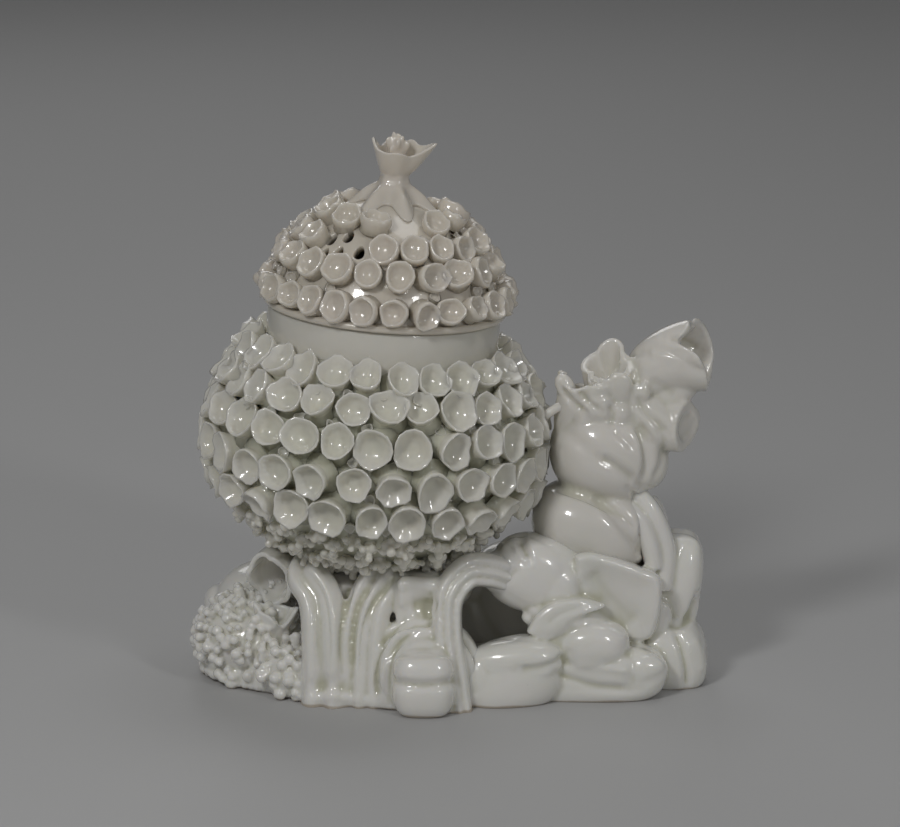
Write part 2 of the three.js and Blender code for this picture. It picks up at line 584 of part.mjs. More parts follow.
// A row's cups are as wide as asked for, or as the neighbouring rows leave room for.
function rowOn(profile, rows, k, radius, reach) {
  const [, count, height, azimuth, arc = null, bare = []] = rows[k];
  const [r, z, lean] = seatOn(profile, height);
  const rim = rimOf(profile, height, reach);
  const room = [rows[k - 1], rows[k + 1]].filter((other) => other !== undefined).map((other) => {
    const next = rimOf(profile, other[2], reach);
    return 0.5 * Math.hypot(next[0] - rim[0], next[1] - rim[1]) - FIT_GAP;
  });
  return blossomRow([count, r, z, lean, Math.min(radius, ...room), reach, rad(azimuth), bare], arc);
}

const bowlInside = within(BELLY.slice(2), WALL);
const bowlProfile = [
  [0, STEM_FOOT],
  ...BELLY,
  ...bowlInside.reverse(),
  [0, bowlInside[bowlInside.length - 1][1] - 0.5],
];

const flange = NECK_RADIUS - WALL - FLANGE_GAP;
const lidInside = within(DOME, LID_WALL);
const lidProfile = [
  [0, APEX],
  ...DOME.slice(0, -1).reverse(),
  [LID_RADIUS, DOME[0][1] - 0.3],
  [LID_RADIUS, LID_BOTTOM],
  [flange, LID_BOTTOM],
  [flange, NECK_RIM - FLANGE_DEPTH],
  [flange - 2.4, NECK_RIM - FLANGE_DEPTH],
  [flange - 2.4, LID_BOTTOM + LID_EDGE],
  ...lidInside.slice(1, -1),
  [0, APEX - LID_WALL],
];

function lidShell() {
  let solid = solidOf(turned(lidProfile, 26));
  for (const [azimuth, place] of LID_HOLES) {
    const [r, z, lean] = seatOn(DOME, dome(place));
    const shape = new THREE.Shape();
    for (let k = 0; k < 6; k += 1) {
      const angle = rad(60 * k);
      shape.lineTo(HOLE_HALF[0] * Math.sin(angle) * 1.15, HOLE_HALF[1] * Math.cos(angle));
    }
    const drill = new THREE.ExtrudeGeometry(shape, { depth: 14, bevelEnabled: false });
    drill.translate(0, 0, -9);
    const matrix = new THREE.Matrix4()
      .makeRotationZ(rad(azimuth))
      .multiply(new THREE.Matrix4().makeTranslation(r, 0, z))
      .multiply(new THREE.Matrix4().makeRotationY(rad(90 - lean)))
      .multiply(new THREE.Matrix4().makeRotationZ(Math.PI / 2));
    drill.applyMatrix4(matrix);
    solid = solid.subtract(solidOf(drill));
  }
  return geometryOf(solid);
}

// Finial

const domeHeight = (r) => {
  const k = DOME.findIndex(([radius]) => radius <= r);
  const [[r0, z0], [r1, z1]] = [DOME[k - 1], DOME[k]];
  return between(z0, z1, (r0 - r) / (r0 - r1));
};
const FINIAL_TOP = APEX + FINIAL_RISE;
const NECK_TOP = APEX + 0.34 * FINIAL_RISE;
const BUD_FOOT = NECK_TOP + 0.133 * FINIAL_RISE;

function sepalRings(around) {
  const [count, first, tip, notch] = SEPALS;
  const rings = [];
  const outer = [[1, 0, 0], [1.02, 0, 2.8], [1.3, 0, 5.2], [1.1, 0.35, 0], [1, 0.75, 0], [1, 1, 0]];
  outer.forEach(([scale, share, drop], k) => {
    const ring = [];
    for (let i = 0; i < around; i += 1) {
      const phi = 2 * Math.PI * i / around;
      const edge = notch + (tip - notch) * Math.abs(Math.cos(0.5 * count * (phi - rad(first)))) ** 3;
      const r = between(FINIAL_NECK, edge, share) * scale;
      const z = k < 3 ? NECK_TOP - drop : domeHeight(r) + FIT_GAP + 0.7 + 2.2 * (1 - share);
      ring.push([r * Math.cos(phi), r * Math.sin(phi), z]);
    }
    rings.push(ring);
  });
  for (const share of [0.97, 0.75, 0.45]) {
    rings.push(rings[5].map(([x, y]) => {
      const r = Math.hypot(x, y) * share;
      return [x * share, y * share, domeHeight(r) + FIT_GAP + 0.3];
    }));
  }
  return rings;
}

function petalRings(around) {
  const foot = NECK_TOP + FIT_GAP;
  const rings = [];
  const place = (share, inset, lift) => {
    const ring = [];
    for (let i = 0; i < around; i += 1) {
      const phi = 2 * Math.PI * i / around;
      let [reach, top] = PETAL_LOW;
      for (const [azimuth, tipReach, tipTop, spread] of PETALS) {
        const near = Math.exp((Math.cos(phi - rad(azimuth)) - 1) / (spread * spread));
        reach += (tipReach - PETAL_LOW[0]) * near;
        top += (tipTop - PETAL_LOW[1]) * near;
      }
      const r = between(FINIAL_NECK * 0.94, reach, share ** 1.2) - inset;
      ring.push([r * Math.cos(phi), r * Math.sin(phi), between(foot, between(NECK_TOP, FINIAL_TOP, top), share) + lift]);
    }
    return ring;
  };
  rings.push(place(0, 0, 0), place(0.3, 0, 0), place(0.65, 0, 0), place(1, 0, 0));
  rings.push(place(1, 0.9, 0), place(0.6, 1.2, 0.3), place(0.2, 1.6, 0.3));
  return rings;
}

function coralSwellings() {
  const swellings = [];
  for (let i = 0; i < CORAL_BALLS; i += 1) {
    const lift = 0.15 + 0.8 * i / CORAL_BALLS;
    const turn = 2.399963 * i;
    const flat = Math.sqrt(1 - lift * lift);
    swellings.push([flat * Math.cos(turn), flat * Math.sin(turn), lift, 0.14, 0.13]);
  }
  return swellings;
}

function plinth() {
  const shape = new THREE.Shape();
  const curve = new THREE.SplineCurve([...FOOT_LINE, FOOT_LINE[0]].map(([x, y]) => new THREE.Vector2(x, y)));
  shape.setFromPoints(curve.getPoints(40).slice(0, -1));
  const geometry = new THREE.ExtrudeGeometry(shape, {
    depth: PLINTH_HEIGHT - 3.2, bevelEnabled: true, bevelThickness: 1.6, bevelSize: 1.6, bevelOffset: -1.6,
    bevelSegments: 1, curveSegments: 1,
  });
  geometry.translate(0, 0, 1.6);
  return geometry;
}

// Assembly

const group = new THREE.Group();
const leaning = new THREE.Group();
leaning.position.set(BOWL_AXIS_X, 0, 0);
leaning.rotation.y = rad(BOWL_LEAN);
group.add(leaning);
leaning.updateMatrix();

function add(parent, name, geometry, tint = WHITE) {
  const material = new THREE.MeshStandardMaterial({ color: tint, roughness: 0.15, metalness: 0 });
  const clean = mergedCopy(geometry);
  clean.computeVertexNormals();
  const mesh = new THREE.Mesh(clean, material);
  mesh.name = name;
  parent.add(mesh);
}

// Room taken by the bowl with its blossoms, which nothing of the base enters.
const reachOut = within(BELLY.slice(2, -2), -(SLIP_GAP + BLOSSOM_REACH + 1.2));
const envelope = turned([[0, STEM_FOOT - FIT_GAP], [STEM_RADIUS + 1, STEM_FOOT - FIT_GAP],
  [STEM_RADIUS + 1, STEM_FOOT - 3], ...reachOut, [0, NECK_FOOT]], 36);
envelope.applyMatrix4(leaning.matrix);

const CUT_ORDER = [
  'scroll_foot', 'arch_right', 'fall_middle', 'fall_left', 'scroll_rings', 'niche', 'shoulder_rock',
  'front_slab', 'oval_boulder', 'leaf_boulder', 'front_left_boulder', 'leaf_slab', 'right_boulder',
  'trunk_middle', 'trunk_upper', 'branch_front', 'trunk_flare', 'branch_lower', 'branch_upper',
  'back_slab', 'folds', 'trunk_root', 'coral_mound', 'shell_scoop', 'coral_sprays', 'crown_rock',
  'pillar_rock', 'back_rock_left', 'back_rock_middle', 'back_rock_right', 'back_boulder', 'coral_balls', 'twig',
];

const UNSEEN = [
  'crown_rock', 'pillar_rock', 'back_rock_left', 'back_rock_middle', 'back_rock_right', 'back_boulder', 'trunk_root',
];

const rough = new Map();
for (const [name, ...shape] of ROCKS) {
  rough.set(name, UNSEEN.includes(name) ? rock(shape, 10, 7) : rock(shape, 13, 8));
}
for (const [name, rows, reference, ribs, ridge] of BANDS) {
  rough.set(name, band(rows, reference, ribs, ridge));
}
for (const [name, rows, reference, strands, waves, wall, hollow] of BRANCHES) {
  rough.set(name, openBranch(rows, reference, strands, waves, wall, hollow));
}
rough.set('coral_balls', rock([...CORAL_BODY, coralSwellings(), []], 18, 10));
rough.set('coral_sprays', rock(CORAL_SPRAYS, 12, 7));
rough.set('twig', band(TWIG, [0, 1, 0], 1, 0, 8, 4));

const plinthBody = plinth();
const done = [['envelope', envelope], ['plinth', plinthBody]];
add(group, 'plinth', plinthBody);
for (const name of CUT_ORDER) {
  const body = rough.get(name);
  body.computeBoundingBox();
  const reach = body.boundingBox.clone().expandByScalar(FIT_GAP * 2);
  const near = done.filter(([, other]) => {
    other.computeBoundingBox();
    return reach.intersectsBox(other.boundingBox);
  });
  const shaped = grounded(cutBy(body, near.map(([, other]) => other)));
  done.push([name, shaped]);
  add(group, name, shaped);
}

add(leaning, 'bowl_shell', turned(bowlProfile));
BOWL_RINGS.forEach(([name], k) => add(leaning, name, rowOn(BELLY, BOWL_RINGS, k, BLOSSOM_RADIUS, BLOSSOM_REACH)));
SPRIG_RINGS.forEach(([name], k) => add(leaning, name, rowOn(BELLY, SPRIG_RINGS, k, SPRIG_RADIUS, BLOSSOM_REACH * 0.8)));
add(leaning, 'lid_shell', lidShell());
LID_RINGS.forEach(([name], k) => add(leaning, name, rowOn(DOME, LID_RINGS, k, LID_BLOSSOM_RADIUS, LID_BLOSSOM_REACH)));
add(leaning, 'finial_sepals', skinned(sepalRings(24), [0, 0, APEX + FIT_GAP + 0.3]));
add(leaning, 'finial_petals', skinned(petalRings(20)));
add(leaning, 'finial_bud', rock([[0, 0, (FINIAL_TOP + BUD_FOOT) / 2], [2.8, 2.8, (FINIAL_TOP - BUD_FOOT) / 2],
  [0, 0, 0], 2, [[1, 0, 0.2, 0.2, 0.3], [-0.5, 0.85, 0, 0.2, 0.3], [-0.5, -0.85, 0.1, 0.2, 0.3]], []], 9, 6));

// The origin is the middle of the footprint's bounding box, on the ground.
group.updateMatrixWorld(true);
const bounds = new THREE.Box3().setFromObject(group, true);
const centre = bounds.getCenter(new THREE.Vector3());
for (const child of group.children) {
  child.position.x -= centre.x;
  child.position.y -= centre.y;
  child.position.z -= bounds.min.z;
}

export default group;
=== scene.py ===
import json
import math

import bmesh
import bpy
import numpy as np
from mathutils import Matrix, Vector

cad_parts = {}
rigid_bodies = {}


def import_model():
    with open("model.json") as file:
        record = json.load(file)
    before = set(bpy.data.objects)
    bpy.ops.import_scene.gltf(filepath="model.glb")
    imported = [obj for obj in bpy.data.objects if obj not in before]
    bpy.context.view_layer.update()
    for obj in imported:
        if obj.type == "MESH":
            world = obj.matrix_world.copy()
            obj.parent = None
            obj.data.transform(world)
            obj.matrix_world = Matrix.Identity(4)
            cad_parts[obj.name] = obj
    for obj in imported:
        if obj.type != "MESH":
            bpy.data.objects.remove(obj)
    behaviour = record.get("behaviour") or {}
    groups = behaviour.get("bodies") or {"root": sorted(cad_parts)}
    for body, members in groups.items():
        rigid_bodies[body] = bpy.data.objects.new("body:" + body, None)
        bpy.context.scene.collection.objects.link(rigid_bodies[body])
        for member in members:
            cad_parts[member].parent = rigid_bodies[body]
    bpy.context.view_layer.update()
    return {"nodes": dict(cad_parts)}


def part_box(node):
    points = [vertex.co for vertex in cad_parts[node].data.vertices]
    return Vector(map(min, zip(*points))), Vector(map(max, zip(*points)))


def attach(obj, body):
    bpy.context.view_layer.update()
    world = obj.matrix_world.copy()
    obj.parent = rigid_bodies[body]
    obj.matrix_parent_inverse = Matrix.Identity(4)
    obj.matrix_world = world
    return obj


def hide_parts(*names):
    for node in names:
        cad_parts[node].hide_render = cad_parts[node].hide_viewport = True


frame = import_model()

# Potpourri vase of white glazed porcelain. Shapes are worked out in millimetres in the
# potter's frame (x to the right, y away from the eye, z up from the ground), and placed in
# metres.

MM = 0.001
FIT_GAP = 0.3
SLIP_GAP = 0.7
BOWL_LEAN = 4.5
BOWL_AXIS_X = -32.9
STEM_FOOT = 42.0
STEM_RADIUS = 12.0
BOWL_RADIUS = 53.5
BOWL_WIDEST = 82.0
NECK_RADIUS = 39.3
NECK_FOOT = 118.0
NECK_RIM = 130.0
WALL = 3.4
LID_OVERHANG = 1.9
LID_EDGE = 2.4
LID_RISE = 36.0
LID_WALL = 3.0
FLANGE_DEPTH = 5.0
FLANGE_GAP = 0.6
BLOSSOM_REACH = 5.9
LID_REACH = 4.8
FINIAL_NECK = 4.9
FINIAL_RISE = 21.8
PLINTH_HEIGHT = 6.0

# The photograph's frame is 900 by 827 pixels, and one pixel is 0.339 mm at the vase. A place at
# depth y and height z lies in about the row FOOT_ROW - z / ROW_HEIGHT - DEPTH_ROWS * y.
PHOTO_WIDTH, PHOTO_HEIGHT = 900, 827
PIXEL = 0.339
MIDDLE_COLUMN = 452
FOOT_ROW = 679
ROW_HEIGHT = 0.3495
DEPTH_ROWS = 0.714
DISTANCE = 1500.0
ELEVATION = math.radians(14)
AIM_HEIGHT = 90.0
AIM_PIXEL = (MIDDLE_COLUMN, FOOT_ROW - AIM_HEIGHT / ROW_HEIGHT)
LOOK = np.array([0, math.cos(ELEVATION), -math.sin(ELEVATION)])
LIFT = np.array([0, math.sin(ELEVATION), math.cos(ELEVATION)])
EYE = (np.array([(PHOTO_WIDTH / 2 - AIM_PIXEL[0]) * PIXEL, 0, AIM_HEIGHT])
       + LIFT * (AIM_PIXEL[1] - PHOTO_HEIGHT / 2) * PIXEL - LOOK * DISTANCE)


def seen_at(places):
    """Pixels of the photograph at which points in the potter's frame are seen."""
    away = places - EYE
    depth = away @ LOOK
    scale = DISTANCE / PIXEL / depth
    return np.stack([PHOTO_WIDTH / 2 + away[:, 0] * scale, PHOTO_HEIGHT / 2 - (away @ LIFT) * scale], -1)


# Smooth lines through rows of numbers

def between(a, b, f):
    """The value at share f of the way from a to b."""
    return a + (b - a) * f


def unit(vectors):
    """Vectors of length 1 in the same directions."""
    return vectors / np.linalg.norm(vectors, axis=-1, keepdims=True)


def circle(count):
    """Equal steps of angle round a circle."""
    return 2 * np.pi * np.arange(count) / count


def round_axis(r, phi, z):
    """Points at radius r, angle phi and height z, of which any may be an array."""
    r, phi, z = np.broadcast_arrays(r, phi, z)
    return np.stack([r * np.cos(phi), r * np.sin(phi), z], axis=-1)


def along(rows, t):
    """Uniform Catmull-Rom value through the rows at each t from 0 to 1: on each stretch a cubic
    through its two ends whose slopes are half the difference of the neighbours."""
    rows = np.asarray(rows, float)
    t = np.atleast_1d(np.asarray(t, float))
    padded = np.vstack([2 * rows[0] - rows[1], rows, 2 * rows[-1] - rows[-2]])
    scaled = np.clip(t, 0, 1) * (len(rows) - 1)
    k = np.minimum(scaled.astype(int), len(rows) - 2)
    f = (scaled - k)[:, None]
    p0, p1, p2, p3 = padded[k], padded[k + 1], padded[k + 2], padded[k + 3]
    return 0.5 * (2 * p1 + (p2 - p0) * f + (2 * p0 - 5 * p1 + 4 * p2 - p3) * f ** 2
                  + (3 * p1 - p0 - 3 * p2 + p3) * f ** 3)


def frames_along(rows, t, reference):
    """At each t: the row's values, the tangent, the direction across (reference x tangent) and
    the direction out (tangent x across)."""
    step = 1e-3
    ahead = along(rows, np.minimum(t + step, 1))[:, :3]
    behind = along(rows, np.maximum(t - step, 0))[:, :3]
    tangent = unit(ahead - behind)
    across = unit(np.cross(np.asarray(reference, float)[None, :], tangent))
    return along(rows, t), tangent, across, np.cross(tangent, across)


# Grids and meshes

def ring_faces(rings, count):
    """Quads between neighbouring rings of equal count that close on themselves."""
    k, i = np.meshgrid(np.arange(rings - 1), np.arange(count), indexing="ij")
    a = k * count + i
    b = k * count + (i + 1) % count
    return np.stack([a, b, b + count, a + count], axis=-1).reshape(-1, 4)


def closed_copies(grid, first, last):
    """Closed skins over rings (copies, rings, count, 3), each with a fan to its own first and
    last point (copies, 3)."""
    copies, rings, count = grid.shape[:3]
    points = np.concatenate([grid.reshape(copies, -1, 3), first[:, None], last[:, None]], axis=1)
    own = points.shape[1]
    i = np.arange(count)
    j = (i + 1) % count
    top = (rings - 1) * count
    low = np.stack([np.full(count, own - 2), j, i], axis=-1)
    high = np.stack([np.full(count, own - 1), top + i, top + j], axis=-1)
    start = (np.arange(copies) * own)[:, None, None]
    faces = []
    for part in (ring_faces(rings, count), low, high):
        faces += (part[None] + start).reshape(-1, part.shape[1]).tolist()
    return points.reshape(-1, 3), faces


def closed_grid(grid, ends=None):
    """A closed skin over rings (rings, count, 3), with a fan to a point at each end: the ends
    given, or the middles of the first and the last ring."""
    first, last = (grid[0].mean(0), grid[-1].mean(0)) if ends is None else ends
    return closed_copies(grid[None], np.array([first]), np.array([last]))


def joined(surfaces):
    """Several surfaces as one list of points and one of faces."""
    points, faces, start = [], [], 0
    for own_points, own_faces in surfaces:
        points.append(own_points)
        faces += [[v + start for v in face] for face in own_faces]
        start += len(own_points)
    return np.vstack(points), faces


def mesh_of(name, points, faces):
    """A mesh in metres with its faces turned outwards."""
    mesh = bpy.data.meshes.new(name)
    mesh.from_pydata((np.asarray(points) * MM).tolist(), [], faces)
    mesh.validate()
    work = bmesh.new()
    work.from_mesh(mesh)
    bmesh.ops.remove_doubles(work, verts=work.verts, dist=1e-7)
    bmesh.ops.recalc_face_normals(work, faces=work.faces)
    work.to_mesh(mesh)
    work.free()
    return mesh


def read(layer, field, width=3, kind=float):
    """A field of a mesh's layer, such as its points, as rows of numbers."""
    values = np.empty(len(layer) * width, kind)
    layer.foreach_get(field, values)
    return values.reshape(-1, width)


def write_attribute(mesh, name, values):
    """One number on each point, which the glaze reads."""
    layer = mesh.attributes.new(name, "FLOAT", "POINT")
    layer.data.foreach_set("value", np.asarray(values, np.float32))


def linked(name, data):
    """A new object of the scene that holds the data."""
    made = bpy.data.objects.new(name, data)
    bpy.context.collection.objects.link(made)
    return made


def finished(name, mesh, body, nodes, material):
    """Puts a mesh into the scene as a smooth piece that stands for its nodes."""
    mesh.shade_smooth()
    mesh.materials.append(material)
    piece = linked(name, mesh)
    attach(piece, body)
    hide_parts(*nodes)


def modified(name, holder):
    """The mesh of an object after its modifiers. The object itself is removed."""
    graph = bpy.context.evaluated_depsgraph_get()
    mesh = bpy.data.meshes.new_from_object(holder.evaluated_get(graph))
    mesh.name = name
    bpy.data.objects.remove(holder)
    return mesh


# Soft joins: the potter's slip and the glaze round off every crease. Each round of easing moves
# points by EASE towards their neighbours' mean and then by GIVE_BACK away from it, which keeps
# the volume. The colour of pooled olive glaze, darkened as painted shade, fills hollows of
# HOLLOW_FULL mm and wide ones of BROAD_FULL mm altogether.

EASE, GIVE_BACK = 0.6, 0.5
HOLLOW_ROUNDS, BROAD_ROUNDS = 30, 60
HOLLOW_FULL, BROAD_FULL = 0.9, 3.2
POOL_AND_SHADE_START = 0.1

def neighbour_mean(values, edges, degree):
    """The mean of each point's neighbours: the sum over its edges, divided by their number."""
    total = np.zeros_like(values)
    for c in range(values.shape[1]):
        total[:, c] = (np.bincount(edges[:, 0], values[edges[:, 1], c], len(values))
                       + np.bincount(edges[:, 1], values[edges[:, 0], c], len(values)))
    return total / degree[:, None]


def hollowness(places, normals, edges, degree, rounds):
    """How far each point lies below its surroundings: the way that it moves along the outward
    normal when the surface is averaged this many times."""
    smooth = places.copy()
    for _ in range(rounds):
        smooth = 0.5 * smooth + 0.5 * neighbour_mean(smooth, edges, degree)
    return ((smooth - places) * normals).sum(1)


# How soon a face that turns from the eye loses its marks, how far a mark reaches in widths, over
# which share of its length it fades in, and how deep it is at its ends
FACING, MARK_REACH, MARK_FADE, MARK_END = 2.5, 2.6, 1 / 6, 0.35


def carved(places, normals, strokes):
    """Tool marks. A stroke is its depth in millimetres, its width in pixels, the farthest y at
    which it acts, and its line as pixels of the photograph. Points that face the eye move
    inwards by depth times a bell of their distance from the line, and less near its ends. A
    stroke with two widths, left and right of its line, looks like a fold that laps over."""
    eye = seen_at(places)
    facing = np.clip(-(normals @ LOOK) * FACING, 0, 1)
    moved = places.copy()
    for depth, width, farthest, *line in strokes:
        line = along(np.array(line, float), np.linspace(0, 1, 8 * len(line)))
        left, right = width if isinstance(width, tuple) else (width, width)
        reach = MARK_REACH * max(left, right)
        inside = (eye > line.min(0) - reach) & (eye < line.max(0) + reach)
        near = np.flatnonzero(inside.all(1) & (places[:, 1] < farthest))
        if not len(near):
            continue
        gap = eye[near][:, None, :] - line[None]
        far = np.sqrt((gap ** 2).sum(-1))
        k = far.argmin(1)
        share = k / (len(line) - 1)
        ends = np.clip(np.minimum(share, 1 - share) / MARK_FADE, MARK_END, 1)
        run = np.gradient(line, axis=0)[k]
        side = gap[np.arange(len(near)), k]
        on_right = run[:, 0] * side[:, 1] - run[:, 1] * side[:, 0] > 0
        bell = np.exp(-(far[np.arange(len(near)), k] / np.where(on_right, right, left)) ** 2)
        moved[near] -= normals[near] * (depth * bell * facing[near] * ends)[:, None]
    return moved


def luted(name, surfaces, voxel, soften, strokes=(), fill=0.35):
    """Bodies luted into one skin: their union on cubes of `voxel` millimetres, creases softened
    by `soften` rounds of averaging, carved, then partly filled with glaze, which lies in a
    hollow up to `fill` times its depth. The attribute written here is 1 in the hollows, where
    the colour turns to pooled olive glaze, darkened as painted shade."""
    rough = mesh_of(name + "_rough", *joined(surfaces))
    holder = linked(name + "_rough", rough)
    remesh = holder.modifiers.new("union", "REMESH")
    remesh.mode = "VOXEL"
    remesh.voxel_size = voxel * MM
    remesh.adaptivity = 0
    mesh = modified(name, holder)
    bpy.data.meshes.remove(rough)
    places = read(mesh.vertices, "co") / MM
    edges = read(mesh.edges, "vertices", 2, int)
    degree = np.maximum(np.bincount(edges.ravel(), minlength=len(places)), 1).astype(float)

    def eased(places, rounds):
        """Creases rounded off without loss of volume."""
        for _ in range(rounds):
            places = places + EASE * (neighbour_mean(places, edges, degree) - places)
            places = places - GIVE_BACK * (neighbour_mean(places, edges, degree) - places)
        return places

    def settled(places):
        """Moves the mesh's points, none below the ground, and gives them with their normals."""
        places[:, 2] = np.maximum(places[:, 2], 0)
        mesh.vertices.foreach_set("co", (places * MM).ravel())
        mesh.update()
        return places, read(mesh.vertices, "normal")

    places, normals = settled(eased(places, soften))
    if strokes:
        places, normals = settled(eased(carved(places, normals, strokes), 2))
    hollow = hollowness(places, normals, edges, degree, HOLLOW_ROUNDS)
    glazed = places + normals * (fill * np.maximum(hollow, 0))[:, None]
    places, normals = settled(eased(glazed, 2))
    broad = hollowness(places, normals, edges, degree, BROAD_ROUNDS)
    # Painted shade: this number turns hollows and creases to the darker pooled olive.
    pool_and_shade = hollow / HOLLOW_FULL + broad / BROAD_FULL - POOL_AND_SHADE_START
    write_attribute(mesh, "pool_and_shade", np.clip(pool_and_shade, 0, 1))
    return mesh


def luted_piece(name, surfaces, nodes, material, voxel, soften=1, body="vase", **how):
    """Bodies luted into one skin, put into the scene as one piece."""
    finished(name, luted(name, surfaces, voxel, soften, **how), body, nodes, material)


# The nodes' own shapes. A rock: place, half sizes, turn, power of its squared oval, swellings
# (direction, height, spread) and grooves (normal of the groove's circle, offset, depth, width).
ROCKS = [
    ("scroll_foot", (-9.5, -40, 10.5), (10.6, 11.2, 12), (0, 0, 0), 3.2, (),
     [(0, 0, 1, 0.14, 0.13, 0.13), (0, 0.35, 1, 0.62, 0.06, 0.08)]),
    ("scroll_rings", (-9.5, -29, 11), (19.5, 15, 19), (0, 0, 0), 2.1, (),
     [(0, -1, -0.05, 0.3, 0.1, 0.07), (0, -1, -0.05, 0.6, 0.09, 0.07)]),
    ("niche", (-9, -24, 33), (10, 8.5, 11), (0, 0, 0), 3.4, [(0.15, -1, -0.1, -0.3, 0.36)]),
    ("shoulder_rock", (29, -13.5, 40.5), (16.5, 12.5, 13.5), (0, 10, 0), 2.4,
     [(0.9, -0.4, -0.5, 0.12, 0.35), (-0.8, -0.5, -0.2, 0.12, 0.35)]),
    ("front_left_boulder", (19.5, -26.5, 8), (18.5, 12, 13), (0, -14, 6), 2.5,
     [(0.75, -0.4, 0.6, 0.1, 0.35), (-0.4, -0.8, 0.6, -0.1, 0.35)]),
    ("leaf_boulder", (38.5, -21.5, 27), (14, 8.5, 6), (0, 10, 0), 2.1, [(1, 0, 0.15, 0.22, 0.25),
     (-0.9, -0.3, -0.4, 0.15, 0.3)], [(0, -0.3, 1, 0.15, 0.07, 0.12)]),
    ("oval_boulder", (47.5, -25, 19), (12.5, 8.5, 8.5), (0, -4, 0), 2.2),
    ("front_slab", (45, -20.5, 7), (27.5, 11.5, 10.5), (0, -3, -4), 3,
     [(-0.5, -0.6, 0.4, -0.1, 0.3), (0.9, -0.5, 0.3, 0.08, 0.25)], [(0.2, -1, 0.9, 0.6, 0.03, 0.1)]),
    ("right_boulder", (75, -4, 8.5), (12.4, 15, 14.8), (0, 0, -8), 2.25,
     [(-0.5, -0.5, 0.7, 0.12, 0.35), (0.7, -0.4, -0.3, 0.1, 0.3)]),
    ("back_slab", (76.5, 5, 30), (8.8, 13, 20), (0, 6, 0), 3.4, [(0.3, -1, 0.3, 0.12, 0.4),
     (0.8, -0.8, -0.5, -0.2, 0.2)]),
    ("folds", (66, 5, 47), (9, 11, 18), (0, -6, 0), 2.3, (), [(1, -0.4, 0.2, 0.5, 0.12, 0.12),
     (1, -0.4, 0.2, 0.05, 0.1, 0.12)]),
    ("trunk_root", (48, 6, 27), (18, 16, 19), (0, 8, 0), 2.3, (), [(1, 0.3, 0.1, 0.3, 0.1, 0.14)]),
    ("trunk_middle", (48.5, -2.5, 55), (21.5, 17.5, 14.5), (0, 14, 0), 2.3,
     [(-0.4, -0.8, 0, 0.07, 0.6)], [(0.75, 0.1, 0.66, 0.42, 0.12, 0.1),
     (0.9, 0.1, 0.4, 0.78, 0.1, 0.08)]),
    ("trunk_upper", (52.5, -1, 80.5), (19.5, 17.5, 17.5), (0, 0, 0), 2.2,
     [(1, -0.3, -0.45, 0.12, 0.4)], [(0.655, 0.05, 0.755, -0.11, 0.045, 0.13),
     (0.3, 0.2, 0.9, 0.66, 0.07, 0.12)]),
    ("coral_mound", (-67.5, 2, 9), (22, 22, 16.5), (0, 6, 0), 2.4, [(-0.7, -0.5, 0.4, 0.12, 0.3),
     (0.3, -0.8, 0.5, 0.12, 0.3)], [(1, 0.4, 0.1, -0.25, 0.08, 0.1), (1, 0.1, 0, 0.35, 0.08, 0.1)]),
    ("shell_scoop", (-60, -3, 34), (8.5, 8, 8.5), (0, 20, 0), 2.2,
     [(0.6, -0.75, 0.35, -0.42, 0.42)]),
    ("crown_rock", (-25, 2, 33.5), (32, 24, 9.5), (0, 2, 0), 2.5, [(0.6, -0.6, 0, 0.08, 0.3)],
     [(1, 0.6, 0, 0.2, 0.05, 0.1)]),
    ("pillar_rock", (-32, 2, 15), (17, 16, 14), (0, 0, 0), 2.8),
    ("back_rock_left", (-60, 26, 13), (24, 19, 20), (0, 8, 20), 2.4, [(0.3, 0.6, 0.7, 0.14, 0.35)],
     [(1, 0.5, 0.2, 0.2, 0.1, 0.12)]),
    ("back_rock_middle", (-24, 35, 14), (19, 16, 25), (6, 0, 0), 2.3, (),
     [(1, 0, 0, -0.35, 0.09, 0.1), (1, 0, 0, 0.35, 0.09, 0.1)]),
    ("back_rock_right", (18, 33, 15), (24, 16, 23), (0, -6, -6), 2.4, [(-0.4, 0.7, 0.6, 0.1, 0.3)],
     [(1, -0.3, 0.4, 0.1, 0.1, 0.12)]),
    ("back_boulder", (60, 24, 12), (22, 17, 20), (0, 4, -12), 2.4, (),
     [(0.7, 0.3, 0.7, 0.3, 0.09, 0.12)]),
]
# A band: its path as (x, y, z, half width, half thickness), the side it faces, how many ribs,
# and how deep the valleys between them are.
BANDS = [
    ("fall_left", [(-40, 2, 38, 7, 5), (-46, -8, 42.5, 7, 5), (-49, -19, 41.5, 7.4, 5.5),
     (-44.5, -25, 35, 7.8, 5.5), (-43, -30, 22, 8, 5.5), (-43, -32.5, -3, 8.4, 5.5)],
     (-0.25, -1, 0.25), 2, 0.55),
    ("fall_middle", [(-17, -17, 45, 7, 5), (-21.5, -22, 43, 7.4, 5), (-27, -26, 35, 7.8, 5.5),
     (-30, -29.5, 22, 8, 5.5), (-30.5, -32, 8, 8, 5.5), (-30.5, -32.5, -3, 8.2, 5.5)],
     (-0.2, -1, 0.2), 3, 0.42),
    ("arch_right", [(2.5, -38, -3, 4.8, 5.5), (0.5, -37.5, 12, 4.8, 5.5), (-1.5, -35, 27, 5, 5.5),
     (-1, -32, 38, 5.4, 5.5), (5, -28, 45, 5.8, 5.5), (13, -24.5, 44.5, 5.8, 5.3),
     (21, -19, 40, 5.2, 5)], (0.1, -1, 0.1), 3, 0.4),
]
